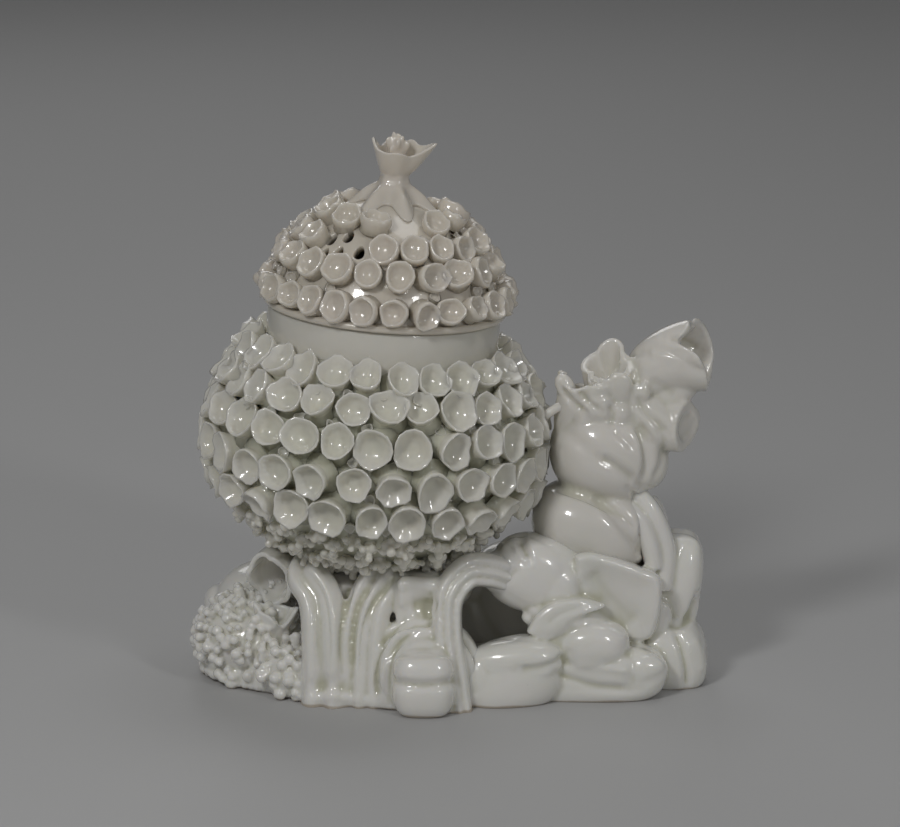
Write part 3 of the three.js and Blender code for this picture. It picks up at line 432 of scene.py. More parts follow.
# A branch: its path as (x, y, z, two half widths), its strands (count, depth, twist), the waves of
# its rim (angle, rise, spread), its wall, and how far down its length it is hollow.
BRANCHES = [
    ("trunk_flare", [(47, -1, 88, 12.8, 12), (45.8, -2.5, 95, 11.6, 11), (46, -3.5, 101, 11, 10.8)],
     (5, 0.16, 0.8), [(180, 7, 0.45), (70, -1.5, 0.7), (-75, 6.5, 0.8)], 2.2, 0.7),
    ("branch_front", [(53.5, -3, 98, 8.5, 8), (52.5, -4.5, 106, 8.6, 8), (52, -4.5, 113, 9.2, 8.4)],
     (4, 0.24, 0.5), [(70, 6, 0.6), (-90, -9.5, 0.85)], 2.2, 0.85),
    ("branch_upper", [(60, 2, 97, 10, 10), (66.5, 0.8, 105, 10.8, 10.4),
     (74, -0.5, 111.4, 11.2, 11), (84, -2, 114.4, 13.2, 12.4)], (3, 0.16, 3.0), [(-128, -5, 0.22),
     (-60, 1.2, 0.6), (0, -2.6, 0.5), (180, -1.2, 0.4), (90, 3, 0.9)], 2.6, 0.36),
    ("branch_lower", [(58, -2, 94, 10, 10), (65.5, -3.5, 91.5, 10.4, 10.2),
     (72.5, -5, 90.2, 9.6, 9.4), (78.5, -7.2, 90, 8.8, 8.6)], (3, 0.1, 2.4), [(100, 3, 0.8),
     (-100, -0.8, 0.5)], 3.2, 0.05),
]
# Rows of blossoms: how many fill the circle, place up the wall and azimuth of the first. On the
# bowl the place is 0 at the stem's foot, 1 at the widest and 2 at the neck's foot. On the lid
# it is a share of the dome's height, and the last entry says which of the row there are.
BOWL_ROWS = [
    ("bowl_blossoms_1", 26, 1.867, -95),
    ("bowl_blossoms_2", 27, 1.639, -86),
    ("bowl_blossoms_3", 27, 1.35, -89.5),
    ("bowl_blossoms_4", 27, 1.035, -96),
    ("bowl_blossoms_5", 26, 0.75, -90),
    ("bowl_blossoms_6", 23, 0.5, -96),
    ("bowl_blossoms_7", 19, 0.306, -90),
]
SPRIG_ROWS = [
    ("bowl_sprigs_1", 16, 0.182, -88),
    ("bowl_sprigs_2", 11, 0.103, -98),
]
LID_ROWS = [
    ("lid_blossoms_1", 26, 0.114, -85),
    ("lid_blossoms_2", 21, 0.403, -83),
    ("lid_blossoms_3", 19, 0.6, -92.3, range(17)),
    ("lid_blossoms_4", 12, 0.775, -105, (0, *range(2, 12))),
]
# The lid's holes: azimuth and share of the dome's height. They are almonds of these half sizes.
LID_HOLES = [
    (-137.5, 0.642), (-124.7, 0.689), (-135.3, 0.514), (-125.1, 0.553), (-110.4, 0.586),
    (-49.8, 0.606), (-20, 0.68), (0, 0.5), (28, 0.68), (60, 0.5), (92, 0.68), (120, 0.5),
    (155, 0.68), (-175, 0.5),
]
HOLE_HALF = (1.2, 2.0)
# Count, first azimuth, and the radius at a tip and at a notch
SEPALS = (6, -130, 17, 9.5)
# Azimuth, reach and top of each petal's tip, and the width of its bell. Between the petals the
# rim has the reach and the top of PETAL_LOW. Tops are shares of the flower's height.
PETALS = [
    (-5, 13.6, 0.785, 0.34), (178, 8.6, 0.785, 0.36), (-88, 8.8, 0.576, 0.42),
    (100, 9, 0.715, 0.42), (48, 8, 0.69, 0.3), (-138, 7.8, 0.52, 0.3),
]
PETAL_LOW = (6.6, 0.41)
# The plinth's outline, x and y
FOOT_LINE = [
    (-86, 2), (-78, -10), (-69, -18), (-60, -23), (-50.5, -31), (-42, -36.5), (-32, -36.5),
    (-22, -40), (-10, -42), (1, -36), (18, -33), (36, -26.5), (52, -28), (64, -23), (72, -16),
    (82, -10), (84, 6), (80, 24), (68, 38), (48, 42), (22, 47), (-4, 50), (-30, 51), (-54, 46),
    (-74, 34), (-85, 18),
]


# Rocks

def turn_matrix(turn):
    """Rotation about x, then y, then z, in degrees."""
    x, y, z = (math.radians(v) for v in turn)
    return np.array(Matrix.Rotation(z, 3, "Z") @ Matrix.Rotation(y, 3, "Y") @ Matrix.Rotation(x, 3, "X"))


def nearness(n, x, y, z):
    """Cosine of the angle between each direction n and the one given."""
    d = np.array([x, y, z], float)
    return n @ (d / np.linalg.norm(d))


def direction_radius(n, power, swellings, grooves):
    """Radius of a squared oval in each direction n: (|x|^p + |y|^p + |z|^p)^(-1/p), raised by a
    bell round each swelling's direction and lowered by a bell along each groove's circle."""
    square = (np.abs(n) ** power).sum(-1) ** (-1.0 / power)
    factor = np.ones_like(square)
    for x, y, z, amount, spread in swellings:
        factor += amount * np.exp((nearness(n, x, y, z) - 1) / spread ** 2)
    for x, y, z, offset, depth, width in grooves:
        factor -= depth * np.exp(-((nearness(n, x, y, z) - offset) / width) ** 2)
    return square * factor


def directions(around, high):
    """Rings of unit directions from the lowest to the highest, without the poles."""
    polar = np.pi * (1 - np.arange(1, high) / high)[:, None]
    phi = circle(around)[None, :]
    return round_axis(np.sin(polar), phi, np.cos(polar))


def rock(at, half, turn, power, swellings=(), grooves=(), around=96, high=64):
    """An oval body whose radius varies with direction, turned and moved to its place."""
    matrix = turn_matrix(turn)

    def place(n):
        """The points that lie in these directions."""
        r = direction_radius(n, power, swellings, grooves)[..., None]
        return (n * r * np.asarray(half, float)) @ matrix.T + np.asarray(at, float)

    poles = place(np.array([[0.0, 0, -1], [0.0, 0, 1]]))
    return closed_grid(place(directions(around, high)), (poles[0], poles[1]))


# The rings of a plate, from its back over the edge to the middle of its face: the share of the
# outline, and the share of the thickness or of the dish
PLATE_BACK = [(0.55, 1.0), (0.9, 0.8), (1.0, 0.45), (1.03, 0.2), (1.0, 0.08), (0.94, 0.01)]
PLATE_FACE = [(0.87, 0.04), (0.78, 0.2), (0.64, 0.5), (0.46, 0.78), (0.26, 0.95), (0.1, 1.0)]


def plate(outline, near, thick, dish, tilt=(0.0, 0.0), around=120):
    """A leaf of clay seen nearly from the front. Its outline is drawn in pixels on the plane
    y = near, turned by `tilt` (change of y for each millimetre of x and of z). The edge is
    rounded, and towards the middle the face lies back by `dish`."""
    line = along([*outline, outline[0]], np.arange(around) / around)
    x = (line[:, 0] - MIDDLE_COLUMN) * PIXEL
    z = (FOOT_ROW - DEPTH_ROWS * near - line[:, 1]) * ROW_HEIGHT
    mx, mz = x.mean(), z.mean()
    rings = [(share, thick * back) for share, back in PLATE_BACK]
    rings += [(share, dish * back) for share, back in PLATE_FACE]
    grid = []
    for share, back in rings:
        px, pz = mx + (x - mx) * share, mz + (z - mz) * share
        y = near + back + tilt[0] * (px - mx) + tilt[1] * (pz - mz)
        grid.append(np.stack([px, y, pz], axis=-1))
    return closed_grid(np.stack(grid))


# Ribbed bands and branches

def band(rows, reference, ribs, ridge, around=72, steps=60):
    """An oval carried along a path. Across: x = cos, y = sin. The outer face is lowered along
    lines between the ribs, by `ridge` times 1 - |cos| of the place across."""
    t = np.linspace(0, 1, steps + 1)
    c, _, across, out = frames_along(rows, t, reference)
    phi = circle(around)
    x, y = np.cos(phi), np.sin(phi)
    up = np.maximum(y, 0)
    valley = 1 - np.abs(np.cos(ribs * np.pi * (x + 1) / 2 + np.pi / 2))
    y = np.where(y > 0, up ** 0.6 - ridge * valley * up ** 0.4, y)
    grid = (c[:, None, :3] + across[:, None, :] * (x[None, :, None] * c[:, None, 3:4])
            + out[:, None, :] * (y[None, :, None] * c[:, None, 4:5]))
    return closed_grid(grid)


def branch_rings(rows, t, reference, strands, waves, around, inset):
    """Rings of a branch: an oval, lowered along the valleys between strands that wind round it,
    with a rim that waves along the path towards the end."""
    count, depth, twist = strands
    c, tangent, across, out = frames_along(rows, t, reference)
    phi = circle(around)[None, :]
    s = np.atleast_1d(t)[:, None]
    valley = 1 - np.abs(np.sin(0.5 * count * (phi - twist * s)))
    factor = 1 - depth * valley ** 2
    shift = np.zeros_like(factor)
    for angle, rise, spread in waves:
        shift += s ** 6 * rise * np.exp((np.cos(phi - math.radians(angle)) - 1) / spread ** 2)
    u = np.cos(phi) * (c[:, 3:4] * factor - inset)
    v = np.sin(phi) * (c[:, 4:5] * factor - inset)
    return (c[:, None, :3] + across[:, None, :] * u[..., None] + out[:, None, :] * v[..., None]
            + tangent[:, None, :] * shift[..., None])


def open_branch(rows, reference, strands, waves, wall, hollow, around=96, steps=48):
    """Up the outside, over a rounded rim and down the inside to a closed floor. Each of the
    nine inner rings lies a little deeper in the wall than the one before."""
    outside = branch_rings(rows, np.linspace(0, 1, steps + 1), reference, strands, waves, around, 0)
    inside = [branch_rings(rows, np.array([1 - hollow * k / 8]), reference, strands, waves, around,
                           wall * (1 + k * 0.075))[0] for k in range(9)]
    return closed_grid(np.concatenate([outside, np.stack(inside)]))


# Turned walls

# The bowl's outside below and above its widest place, and the dome, as shares of the way in
# radius and height
BELLY_LOW = [(0, 0), (0.015, 0.075), (0.226, 0.11), (0.51, 0.25), (0.742, 0.45), (0.91, 0.675), (1, 1)]
BELLY_HIGH = [(0.08, 0.306), (0.32, 0.583), (0.72, 0.833), (1, 1)]
DOME_LINE = [
    (0.945, 0), (0.92, 0.14), (0.86, 0.31), (0.76, 0.48), (0.62, 0.65), (0.45, 0.8), (0.25, 0.93),
    (0, 1),
]
FINIAL_NECK_SHARE = 0.34

BELLY = [
    (between(STEM_RADIUS, BOWL_RADIUS, r), between(STEM_FOOT, BOWL_WIDEST, z)) for r, z in BELLY_LOW
] + [
    (between(BOWL_RADIUS, NECK_RADIUS, r), between(BOWL_WIDEST, NECK_FOOT, z)) for r, z in BELLY_HIGH
] + [(NECK_RADIUS, NECK_RIM)]
LID_RADIUS = NECK_RADIUS + LID_OVERHANG
LID_BOTTOM = NECK_RIM + FIT_GAP
RIM_TOP = LID_BOTTOM + LID_EDGE
DOME = [(LID_RADIUS * r, RIM_TOP + LID_RISE * z) for r, z in DOME_LINE]
APEX = DOME[-1][1]
FINIAL_TOP = APEX + FINIAL_RISE
NECK_TOP = APEX + FINIAL_NECK_SHARE * FINIAL_RISE


def within(profile, distance):
    """A profile moved inwards along its own normals."""
    p = np.asarray(profile, float)
    ahead = np.vstack([p[1:], p[-1:]])
    behind = np.vstack([p[:1], p[:-1]])
    d = unit(ahead - behind)
    r = np.maximum(p[:, 0] - distance * d[:, 1], 0)
    return np.stack([r, p[:, 1] + distance * d[:, 0]], axis=-1)


def turned(profile, around=160):
    """A profile of radius and height turned round the axis, with its ends on the axis."""
    p = np.asarray(profile, float)
    grid = round_axis(p[1:-1, :1], circle(around), p[1:-1, 1:])
    return closed_grid(grid, (np.array([0, 0, p[0, 1]]), np.array([0, 0, p[-1, 1]])))


def seat_on(profile, height, fine=4001, span=5):
    """Radius, height and lean of the outward normal where a wall has this height. The slope is
    taken over `span` of the fine steps to either side."""
    points = along(profile, np.linspace(0, 1, fine))[:, :2]
    k = int(np.clip(np.argmin(np.abs(points[:, 1] - height)), span, fine - 1 - span))
    slope = points[k + span] - points[k - span]
    normal = np.array([slope[1], -slope[0]]) / np.linalg.norm(slope)
    return points[k, 0], points[k, 1], math.atan2(normal[1], normal[0])


def leaning(points):
    """From the bowl's own upright frame into the base's: leant about y, then moved."""
    a = math.radians(BOWL_LEAN)
    x, y, z = points[..., 0], points[..., 1], points[..., 2]
    return np.stack([x * math.cos(a) + z * math.sin(a) + BOWL_AXIS_X, y,
                     z * math.cos(a) - x * math.sin(a)], axis=-1)


# Blossoms: small cups with a lobed rim, each pressed by hand and so a little different

CUP_AROUND = 16
# Rings up a cup's outside, over its rim and down inside: share of the radius, share of the
# height, pool of glaze with painted shade, and how much of the lobes shows
CUP_RINGS = [
    (1.14, -0.32, 1.0, 0.0),
    (0.76, 0.00, 0.8, 0.1),
    (0.84, 0.34, 0.3, 0.4),
    (0.95, 0.80, 0.0, 0.9),
    (0.97, 1.00, 0.0, 1.0),
    (0.87, 0.95, 0.0, 1.0),
    (0.71, 0.46, 0.1, 0.6),
    (0.36, 0.14, 0.35, 0.2),
]
LID_CUP_RINGS = [
    (1.02, -0.30, 1.0, 0.0),
    (0.90, 0.05, 0.7, 0.1),
    (1.04, 0.42, 0.1, 0.2),
    (1.04, 0.78, 0.0, 0.6),
    (0.97, 1.00, 0.0, 1.0),
    (0.87, 0.96, 0.0, 1.0),
    (0.72, 0.58, 0.1, 0.5),
    (0.38, 0.28, 0.35, 0.2),
]

# Rim radii in mm, how much further than the solids' the cups reach, and the first of the seeds
CUP_RADIUS, LID_CUP_RADIUS, STAR_RADIUS, BUD_RADIUS = 6.7, 5.0, 4.6, 2.2
RIM_EXTRA = 0.2
BOWL_SEED, LID_SEED, STAR_SEED, SPRIG_SEED = 20, 60, 35, 40
OVERLAP = 1.16
# Left of this x the upper rows of the lid have no buds, because its open holes lie there
LID_BARE_SIDE = -8
BEND_DEPTH, BEND_ROOM = 1, 1.2


def cups(seats, seed, lobes=5, lobe_depth=0.08, tilt=0.15, rings=CUP_RINGS, floor=0.12):
    """One closed cup on each seat. A seat is its root, outward normal, sideways direction, rim
    radius and reach. The rim radius is lowered by depth * (1 - cos(lobes * angle)) / 2, raised
    by a wave of three crests and by one narrow point or notch."""
    chance = np.random.default_rng(seed)
    root, normal, side, radius, reach = seats
    n = len(root)
    lean = chance.normal(0, tilt, (n, 2))
    up = np.cross(normal, side)
    axis = unit(normal + side * lean[:, :1] + up * lean[:, 1:])
    side = unit(side - axis * (side * axis).sum(1)[:, None])
    up = np.cross(axis, side)
    radius = radius * chance.uniform(0.9, 1.1, n)
    reach = reach * chance.uniform(0.88, 1.04, n)
    start = chance.uniform(0, 2 * np.pi, n)
    oval = chance.uniform(-0.09, 0.09, n)
    point = chance.uniform(-0.18, 0.12, n)
    three = chance.uniform(0, 0.07, n)
    deep = lobe_depth * chance.uniform(0.6, 1.5, n)
    phi = circle(CUP_AROUND)[None, :]
    notch = np.exp((np.cos(phi - 5 * start[:, None]) - 1) / 0.1)
    lobe = 0.5 - 0.5 * np.cos(lobes * (phi + start[:, None]))
    wobble = three[:, None] * np.sin(3 * phi + 7 * start[:, None]) - point[:, None] * notch
    grid, pool_and_shade = [], []
    for share, height, pooled_and_shaded, lobed in rings:
        r = radius[:, None] * share * (1 - lobed * (deep[:, None] * lobe - wobble))
        h = reach[:, None] * (height - 0.15 * lobed * lobe)
        x = r * np.cos(phi) * (1 + oval[:, None])
        y = r * np.sin(phi) * (1 - oval[:, None])
        grid.append(root[:, None] + side[:, None] * x[..., None] + up[:, None] * y[..., None]
                    + axis[:, None] * h[..., None])
        pool_and_shade.append(np.full((n, CUP_AROUND), pooled_and_shaded))
    centre = root + axis * (reach * floor)[:, None]
    foot = root - axis * (reach * 0.3)[:, None]
    # The foot, between the cups, and the bottom inside carry pooled glaze with painted shade.
    pool_and_shade += [np.ones((n, 1)), np.full((n, 1), 0.5)]
    return *closed_copies(np.stack(grid, 1), foot, centre), np.concatenate(pool_and_shade, axis=1).ravel()


def row_seats(profile, row, radius, reach):
    """Seats of a row of blossoms round a wall, at equal steps of azimuth: root, outward normal,
    sideways direction, rim radius and reach. Neighbours overlap by a sixth at most."""
    _, count, height, azimuth, *shown = row
    r, z, lean = seat_on(profile, height)
    r0, z0 = r + SLIP_GAP * math.cos(lean), z + SLIP_GAP * math.sin(lean)
    wide = min(radius, OVERLAP * math.pi * (r0 + reach * math.cos(lean)) / count)
    theta = math.radians(azimuth) + 2 * np.pi * np.array(shown[0] if shown else range(count)) / count
    radial = round_axis(1, theta, 0)
    normal = radial * math.cos(lean) + np.array([0, 0, 1.0]) * math.sin(lean)
    side = np.stack([-np.sin(theta), np.cos(theta), 0 * theta], axis=-1)
    root = radial * r0 + np.array([0, 0, z0])
    n = len(theta)
    return root, normal, side, np.full(n, wide), np.full(n, float(reach))


def blossom_piece(profile, rows, k, radius, reach, seed, body, material, **shape):
    """A row of cups, with a small bud in about every second gap below it, on the lid in every
    fourth. The bowl's rims stand out at most 0.2 mm past the widest row's reach: from
    BEND_DEPTH below that on, they near the limit as 1 - exp(-x)."""
    name, count, height, azimuth, *shown = rows[k]
    seats = row_seats(profile, rows[k], radius, reach)
    sets = [cups(seats, seed, **shape)]
    if k + 1 < len(rows):
        chance = np.random.default_rng(seed + 500)
        gaps = (name, count, 0.5 * (height + rows[k + 1][2]), azimuth + 180 / count, *shown)
        keep = chance.random(len(seats[0])) < (0.5 if body == "vase" else 0.25)
        keep &= (seats[0][:, 0] > LID_BARE_SIDE) | (body == "vase") | (k < 1)
        extra = [part[keep] for part in row_seats(profile, gaps, BUD_RADIUS, reach * 0.3)]
        sets.append(cups(extra, seed + 900, lobes=3, lobe_depth=0.2, tilt=0.3, floor=0.4))
    points, faces = joined([own[:2] for own in sets])
    if body == "vase":
        out = np.hypot(points[:, 0], points[:, 1])
        past = np.maximum(out - (BOWL_RADIUS + SLIP_GAP + BLOSSOM_REACH - BEND_DEPTH), 0)
        drawn_in = out - past + BEND_ROOM * (1 - np.exp(-past / BEND_ROOM))
        points[:, :2] *= (drawn_in / out)[:, None]
    mesh = mesh_of(name + "_cups", leaning(points), faces)
    write_attribute(mesh, "pool_and_shade", np.concatenate([own[2] for own in sets]))
    finished(name + "_cups", mesh, body, [name], material)


# Finial

def dome_height(r):
    """Height of the dome's outside at radius r."""
    d = np.array(DOME[::-1])
    return np.interp(r, d[:, 0], d[:, 1])


def sepal_rings(around=144):
    """From the neck down over pointed sepals to their edge, then back under them. The edge
    reaches between notch and tip, as the cube of |cos| of the angle."""
    count, first, tip, notch = SEPALS
    phi = circle(around)
    ray = np.abs(np.cos(0.5 * count * (phi - math.radians(first))))
    edge = notch + (tip - notch) * ray ** 3
    rings = []
    for scale, drop in [(0.9, -0.2), (1.0, 0), (0.97, 0.9), (1.0, 1.7), (1.06, 2.4)]:
        flute = 1 + 0.03 * np.cos(count * (phi - math.radians(first)))
        rings.append(round_axis(FINIAL_NECK * scale * flute, phi, NECK_TOP - drop))
    for share in np.linspace(0.06, 1, 12):
        r = between(FINIAL_NECK, edge, share)
        rib = 0.35 * ray ** 12 * share * (1 - share) * 4
        z = dome_height(r) + 1.0 + 5.0 * (1 - share) ** 1.15 + rib
        rings.append(round_axis(r, phi, z))
    for share in [0.97, 0.7, 0.3]:
        rings.append(round_axis(edge * share, phi, dome_height(edge * share) + 0.1))
    return np.stack(rings)


def petal_rings(around=144):
    """A cup whose rim reaches out and up to each petal's tip: both follow a bell of the angle
    from the petal's azimuth. The inner wall lies a petal's thickness inside."""
    phi = circle(around)
    reach, top = np.full(around, PETAL_LOW[0]), np.full(around, PETAL_LOW[1])
    for azimuth, tip_reach, tip_top, spread in PETALS:
        near = np.exp((np.cos(phi - math.radians(azimuth)) - 1) / spread ** 2)
        reach += (tip_reach - PETAL_LOW[0]) * near
        top += (tip_top - PETAL_LOW[1]) * near
    top = between(NECK_TOP, FINIAL_TOP, top)
    foot, stalk = NECK_TOP - 0.3, FINIAL_NECK * 0.94
    rings = []
    for share in np.linspace(0, 1, 12):
        rings.append(round_axis(between(stalk, reach, share ** 0.8), phi, between(foot, top, share)))
    for share in [1.0, 0.85, 0.65, 0.45, 0.25]:
        r = between(stalk, reach, share ** 0.8) - (0.95 + 0.6 * (1 - share))
        rings.append(round_axis(r, phi, between(foot, top, share) + 0.25))
    return np.stack(rings)


# Materials

class Value:
    """A number socket with arithmetic. Each expression adds its Math nodes."""

    def __init__(self, paint, socket):
        self.paint = paint
        self.socket = socket

    def _math(self, kind, a, b):
        made = self.paint.node("ShaderNodeMath", {"operation": kind}, [a, b])
        return Value(self.paint, made.outputs[0])

    def __add__(self, other):
        return self._math("ADD", self, other)

    def __radd__(self, other):
        return self._math("ADD", other, self)

    def __sub__(self, other):
        return self._math("SUBTRACT", self, other)

    def __rsub__(self, other):
        return self._math("SUBTRACT", other, self)

    def __mul__(self, other):
        return self._math("MULTIPLY", self, other)

    def __rmul__(self, other):
        return self._math("MULTIPLY", other, self)

    def clipped(self, low=0.0, high=1.0):
        """Held between low and high."""
        return self._math("MINIMUM", self._math("MAXIMUM", self, low), high)

    def over(self, low, high):
        """0 below low, 1 above high, smooth between."""
        made = self.paint.node("ShaderNodeMapRange", {"interpolation_type": "SMOOTHSTEP"},
                               [self, low, high, 0.0, 1.0])
        return Value(self.paint, made.outputs[0])


class Paint:
    """A material under construction."""

    def __init__(self, name):
        self.material = bpy.data.materials.new(name)
        self.material.use_nodes = True
        self.tree = self.material.node_tree
        self.shader = self.tree.nodes["Principled BSDF"]

    def node(self, kind, settings=None, inputs=()):
        """A new node with its settings, and its inputs joined by place or by name."""
        made = self.tree.nodes.new(kind)
        for key, value in (settings or {}).items():
            setattr(made, key, value)
        pairs = inputs.items() if isinstance(inputs, dict) else enumerate(inputs)
        for key, value in pairs:
            self.join(value, made.inputs[key])
        return made

    def join(self, value, socket):
        """Links a value or a socket, or writes a plain number or colour."""
        if isinstance(value, Value):
            self.tree.links.new(value.socket, socket)
        elif isinstance(value, bpy.types.NodeSocket):
            self.tree.links.new(value, socket)
        else:
            socket.default_value = value

    def place(self):
        """The point's own place, in metres."""
        return self.node("ShaderNodeTexCoord").outputs["Object"]

    def attribute(self, name):
        """The number that the mesh carries under this name."""
        made = self.node("ShaderNodeAttribute", {"attribute_type": "GEOMETRY", "attribute_name": name})
        return Value(self, made.outputs["Fac"])

    def noise(self, scale, detail=2.0, roughness=0.5):
        """Clouds of about 1 / scale metres, with values round 0.5."""
        made = self.node("ShaderNodeTexNoise", {}, {
            "Vector": self.place(), "Scale": scale, "Detail": detail, "Roughness": roughness})
        return Value(self, made.outputs[0])

    def specks(self, scale, size):
        """1 on small round dots, at most one in each cell of about 1 / scale metres."""
        made = self.node("ShaderNodeTexVoronoi", {"feature": "F1"},
                         {"Vector": self.place(), "Scale": scale})
        return 1 - Value(self, made.outputs["Distance"]).over(size * 0.6, size)

    def mix(self, share, low, high):
        """The colour low where share is 0, high where it is 1."""
        made = self.node("ShaderNodeMix", {"data_type": "RGBA"})
        self.join(share, made.inputs[0])
        self.join(low, made.inputs[6])
        self.join(high, made.inputs[7])
        return made.outputs[2]

    def set(self, **inputs):
        """Joins inputs of the shader and gives the finished material."""
        for key, value in inputs.items():
            self.join(value, self.shader.inputs[key.replace("_", " ")])
        return self.material


# Patterns of the glaze: how many of each to the metre
CLOUDS, FINE, RIPPLES = 38.0, 420.0, 150.0
SPECKS, SPECK_PATCHES, PINHOLES = 62.0, 21.0, 260.0
# Colours as red, green, blue and alpha. THICK is the factor on the body's colour in the clouds
# where the glaze is thicker.
THICK = (0.955, 0.965, 0.95, 1)
SPECK_BROWN = (0.115, 0.07, 0.04, 1)
BARE_CLAY = (0.42, 0.33, 0.22, 1)
LID_WHITE = (0.73, 0.672, 0.598, 1)
# The bowl's wall, seen at the neck and between the cups, is darker than the bowl's white: painted shade
# under the lid and between the cups
WALL_SHADED_WHITE = (0.70, 0.678, 0.615, 1)
BOWL_WHITE = (0.80, 0.772, 0.695, 1)
BASE_WHITE = (0.86, 0.842, 0.80, 1)
TRUNK_WHITE = (0.79, 0.762, 0.712, 1)
# Pooled olive glaze, darker than the whites, which also paints the shade in hollows and gaps
OLIVE_AND_SHADE = (0.58, 0.585, 0.45, 1)
LID_OLIVE_AND_SHADE = (0.60, 0.55, 0.44, 1)
BASE_OLIVE_AND_SHADE = (0.58, 0.57, 0.42, 1)
TRUNK_OLIVE_AND_SHADE = (0.60, 0.59, 0.46, 1)


def glaze(name, body, pooled_and_shaded, pooled_and_shaded_share=1.0, foot=False):
    """Soft-paste body under a thick clear glaze: cream or grey where it lies thin, olive where
    it pools, and there also darker as painted shade of hollows and gaps, slightly uneven, with
    pinholes and a few brown firing specks. A glaze with a foot leaves the clay bare in the
    lowest millimetre or so."""
    paint = Paint(name)
    pool_and_shade = paint.attribute("pool_and_shade")
    cloud = paint.noise(CLOUDS, 3.0)
    fine = paint.noise(FINE, 2.0)
    thick = tuple(c * k for c, k in zip(body, THICK))
    colour = paint.mix((cloud - 0.5).over(-0.12, 0.14), body, thick)
    # Painted shade with pooled glaze: hollows and gaps turn to the darker olive.
    gathered_and_shaded = (pool_and_shade * pooled_and_shaded_share + (cloud - 0.5) * 0.22 * pool_and_shade).clipped()
    colour = paint.mix(gathered_and_shaded, colour, pooled_and_shaded)
    speck = paint.specks(SPECKS, 0.026) * paint.noise(SPECK_PATCHES, 1.0).over(0.56, 0.6)
    colour = paint.mix(speck * 0.85, colour, SPECK_BROWN)
    rough = 0.16 + cloud * 0.12 + fine * 0.05
    if foot:
        height = Value(paint, paint.node("ShaderNodeSeparateXYZ", {}, [paint.place()]).outputs[2])
        bare = 1 - (height + (cloud - 0.5) * 0.0035).over(0.0003, 0.0013)
        colour = paint.mix(bare * 0.75, colour, BARE_CLAY)
        rough = rough + bare * 0.45
    bump = paint.node("ShaderNodeBump", {}, {"Strength": 0.35, "Distance": 0.00035})
    pinholes = 1 - paint.specks(PINHOLES, 0.06)
    paint.join(paint.noise(RIPPLES, 2.0) * 0.8 + fine * 0.16 + pinholes * 0.12, bump.inputs["Height"])
    return paint.set(Base_Color=colour, Roughness=rough.clipped(), Normal=bump.outputs[0],
                     Coat_Weight=1.0, Coat_Roughness=0.045, Coat_IOR=1.5, IOR=1.46,
                     Subsurface_Weight=0.35, Subsurface_Scale=0.0035,
                     Subsurface_Radius=(1.0, 0.9, 0.7))


lid_glaze = glaze("lid_glaze", LID_WHITE, LID_OLIVE_AND_SHADE, 0.7)
bowl_glaze = glaze("bowl_glaze", BOWL_WHITE, OLIVE_AND_SHADE, 0.8)
wall_shaded_glaze = glaze("wall_shaded_glaze", WALL_SHADED_WHITE, OLIVE_AND_SHADE, 0.8)
base_glaze = glaze("base_glaze", BASE_WHITE, BASE_OLIVE_AND_SHADE, 0.85, foot=True)
trunk_glaze = glaze("trunk_glaze", TRUNK_WHITE, TRUNK_OLIVE_AND_SHADE, 0.6, foot=True)


# The base

# The plinth's rings: how far each lies inside the outline, and its height
PLINTH_RINGS = [
    (1.6, 0), (0.5, 0.6), (0, 1.8), (0, 3.6), (0.6, PLINTH_HEIGHT - 1), (1.8, PLINTH_HEIGHT - 0.2),
    (4, PLINTH_HEIGHT),
]


def plinth_surface():
    """The foot slab: its outline is drawn in towards the underside and the top."""
    line = along([*FOOT_LINE, FOOT_LINE[0]], np.arange(180) / 180)
    middle = line.mean(0)
    away = line - middle
    length = np.linalg.norm(away, axis=1)[:, None]
    rings = []
    for inset, z in PLINTH_RINGS:
        ring = middle + away * (1 - inset / length)
        rings.append(np.concatenate([ring, np.full((len(ring), 1), float(z))], axis=1))
    return closed_grid(np.stack(rings))


shapes = {name: rock(*values) for name, *values in ROCKS}
shapes.update({name: band(*values) for name, *values in BANDS})
shapes.update({name: open_branch(rows, (0, 1, 0), *values) for name, rows, *values in BRANCHES})
shapes["plinth"] = plinth_surface()

# Tool marks: depth in mm (below 0 is a ridge), width in pixels, farthest y in mm, then the
# line in pixels
RIGHT_MARKS = [
    [2.4, (4, 7), 0, (520, 532), (523, 544), (530, 560)],
    [1.1, (3, 6), 0, (508, 542), (514, 554), (524, 566)],
    [1.0, 4, 0, (497, 582), (510, 576), (520, 566)],
    [1.5, (9, 16), 0, (588, 566), (602, 588), (622, 610), (640, 628)],
    [0.9, 5, -8, (470, 655), (474, 676), (474, 700)],
    [1.5, (3, 7), -8, (516, 668), (536, 668), (556, 662), (566, 652)],
    [0.9, 4, -8, (544, 626), (560, 614), (584, 605)],
    [1.3, 4, -8, (556, 672), (574, 680), (600, 687), (640, 690)],
    [-0.9, 4, -8, (566, 666), (600, 667), (634, 672)],
    [1.0, 6, -8, (626, 648), (634, 664), (632, 690)],
    [2.0, 3.5, 30, (674, 626), (682, 648), (687, 672), (686, 692)],
    [-0.8, 5, 30, (692, 636), (700, 654), (702, 676)],
    [2.0, (5, 3), 30, (698, 594), (693, 610), (684, 622), (672, 626)],
]
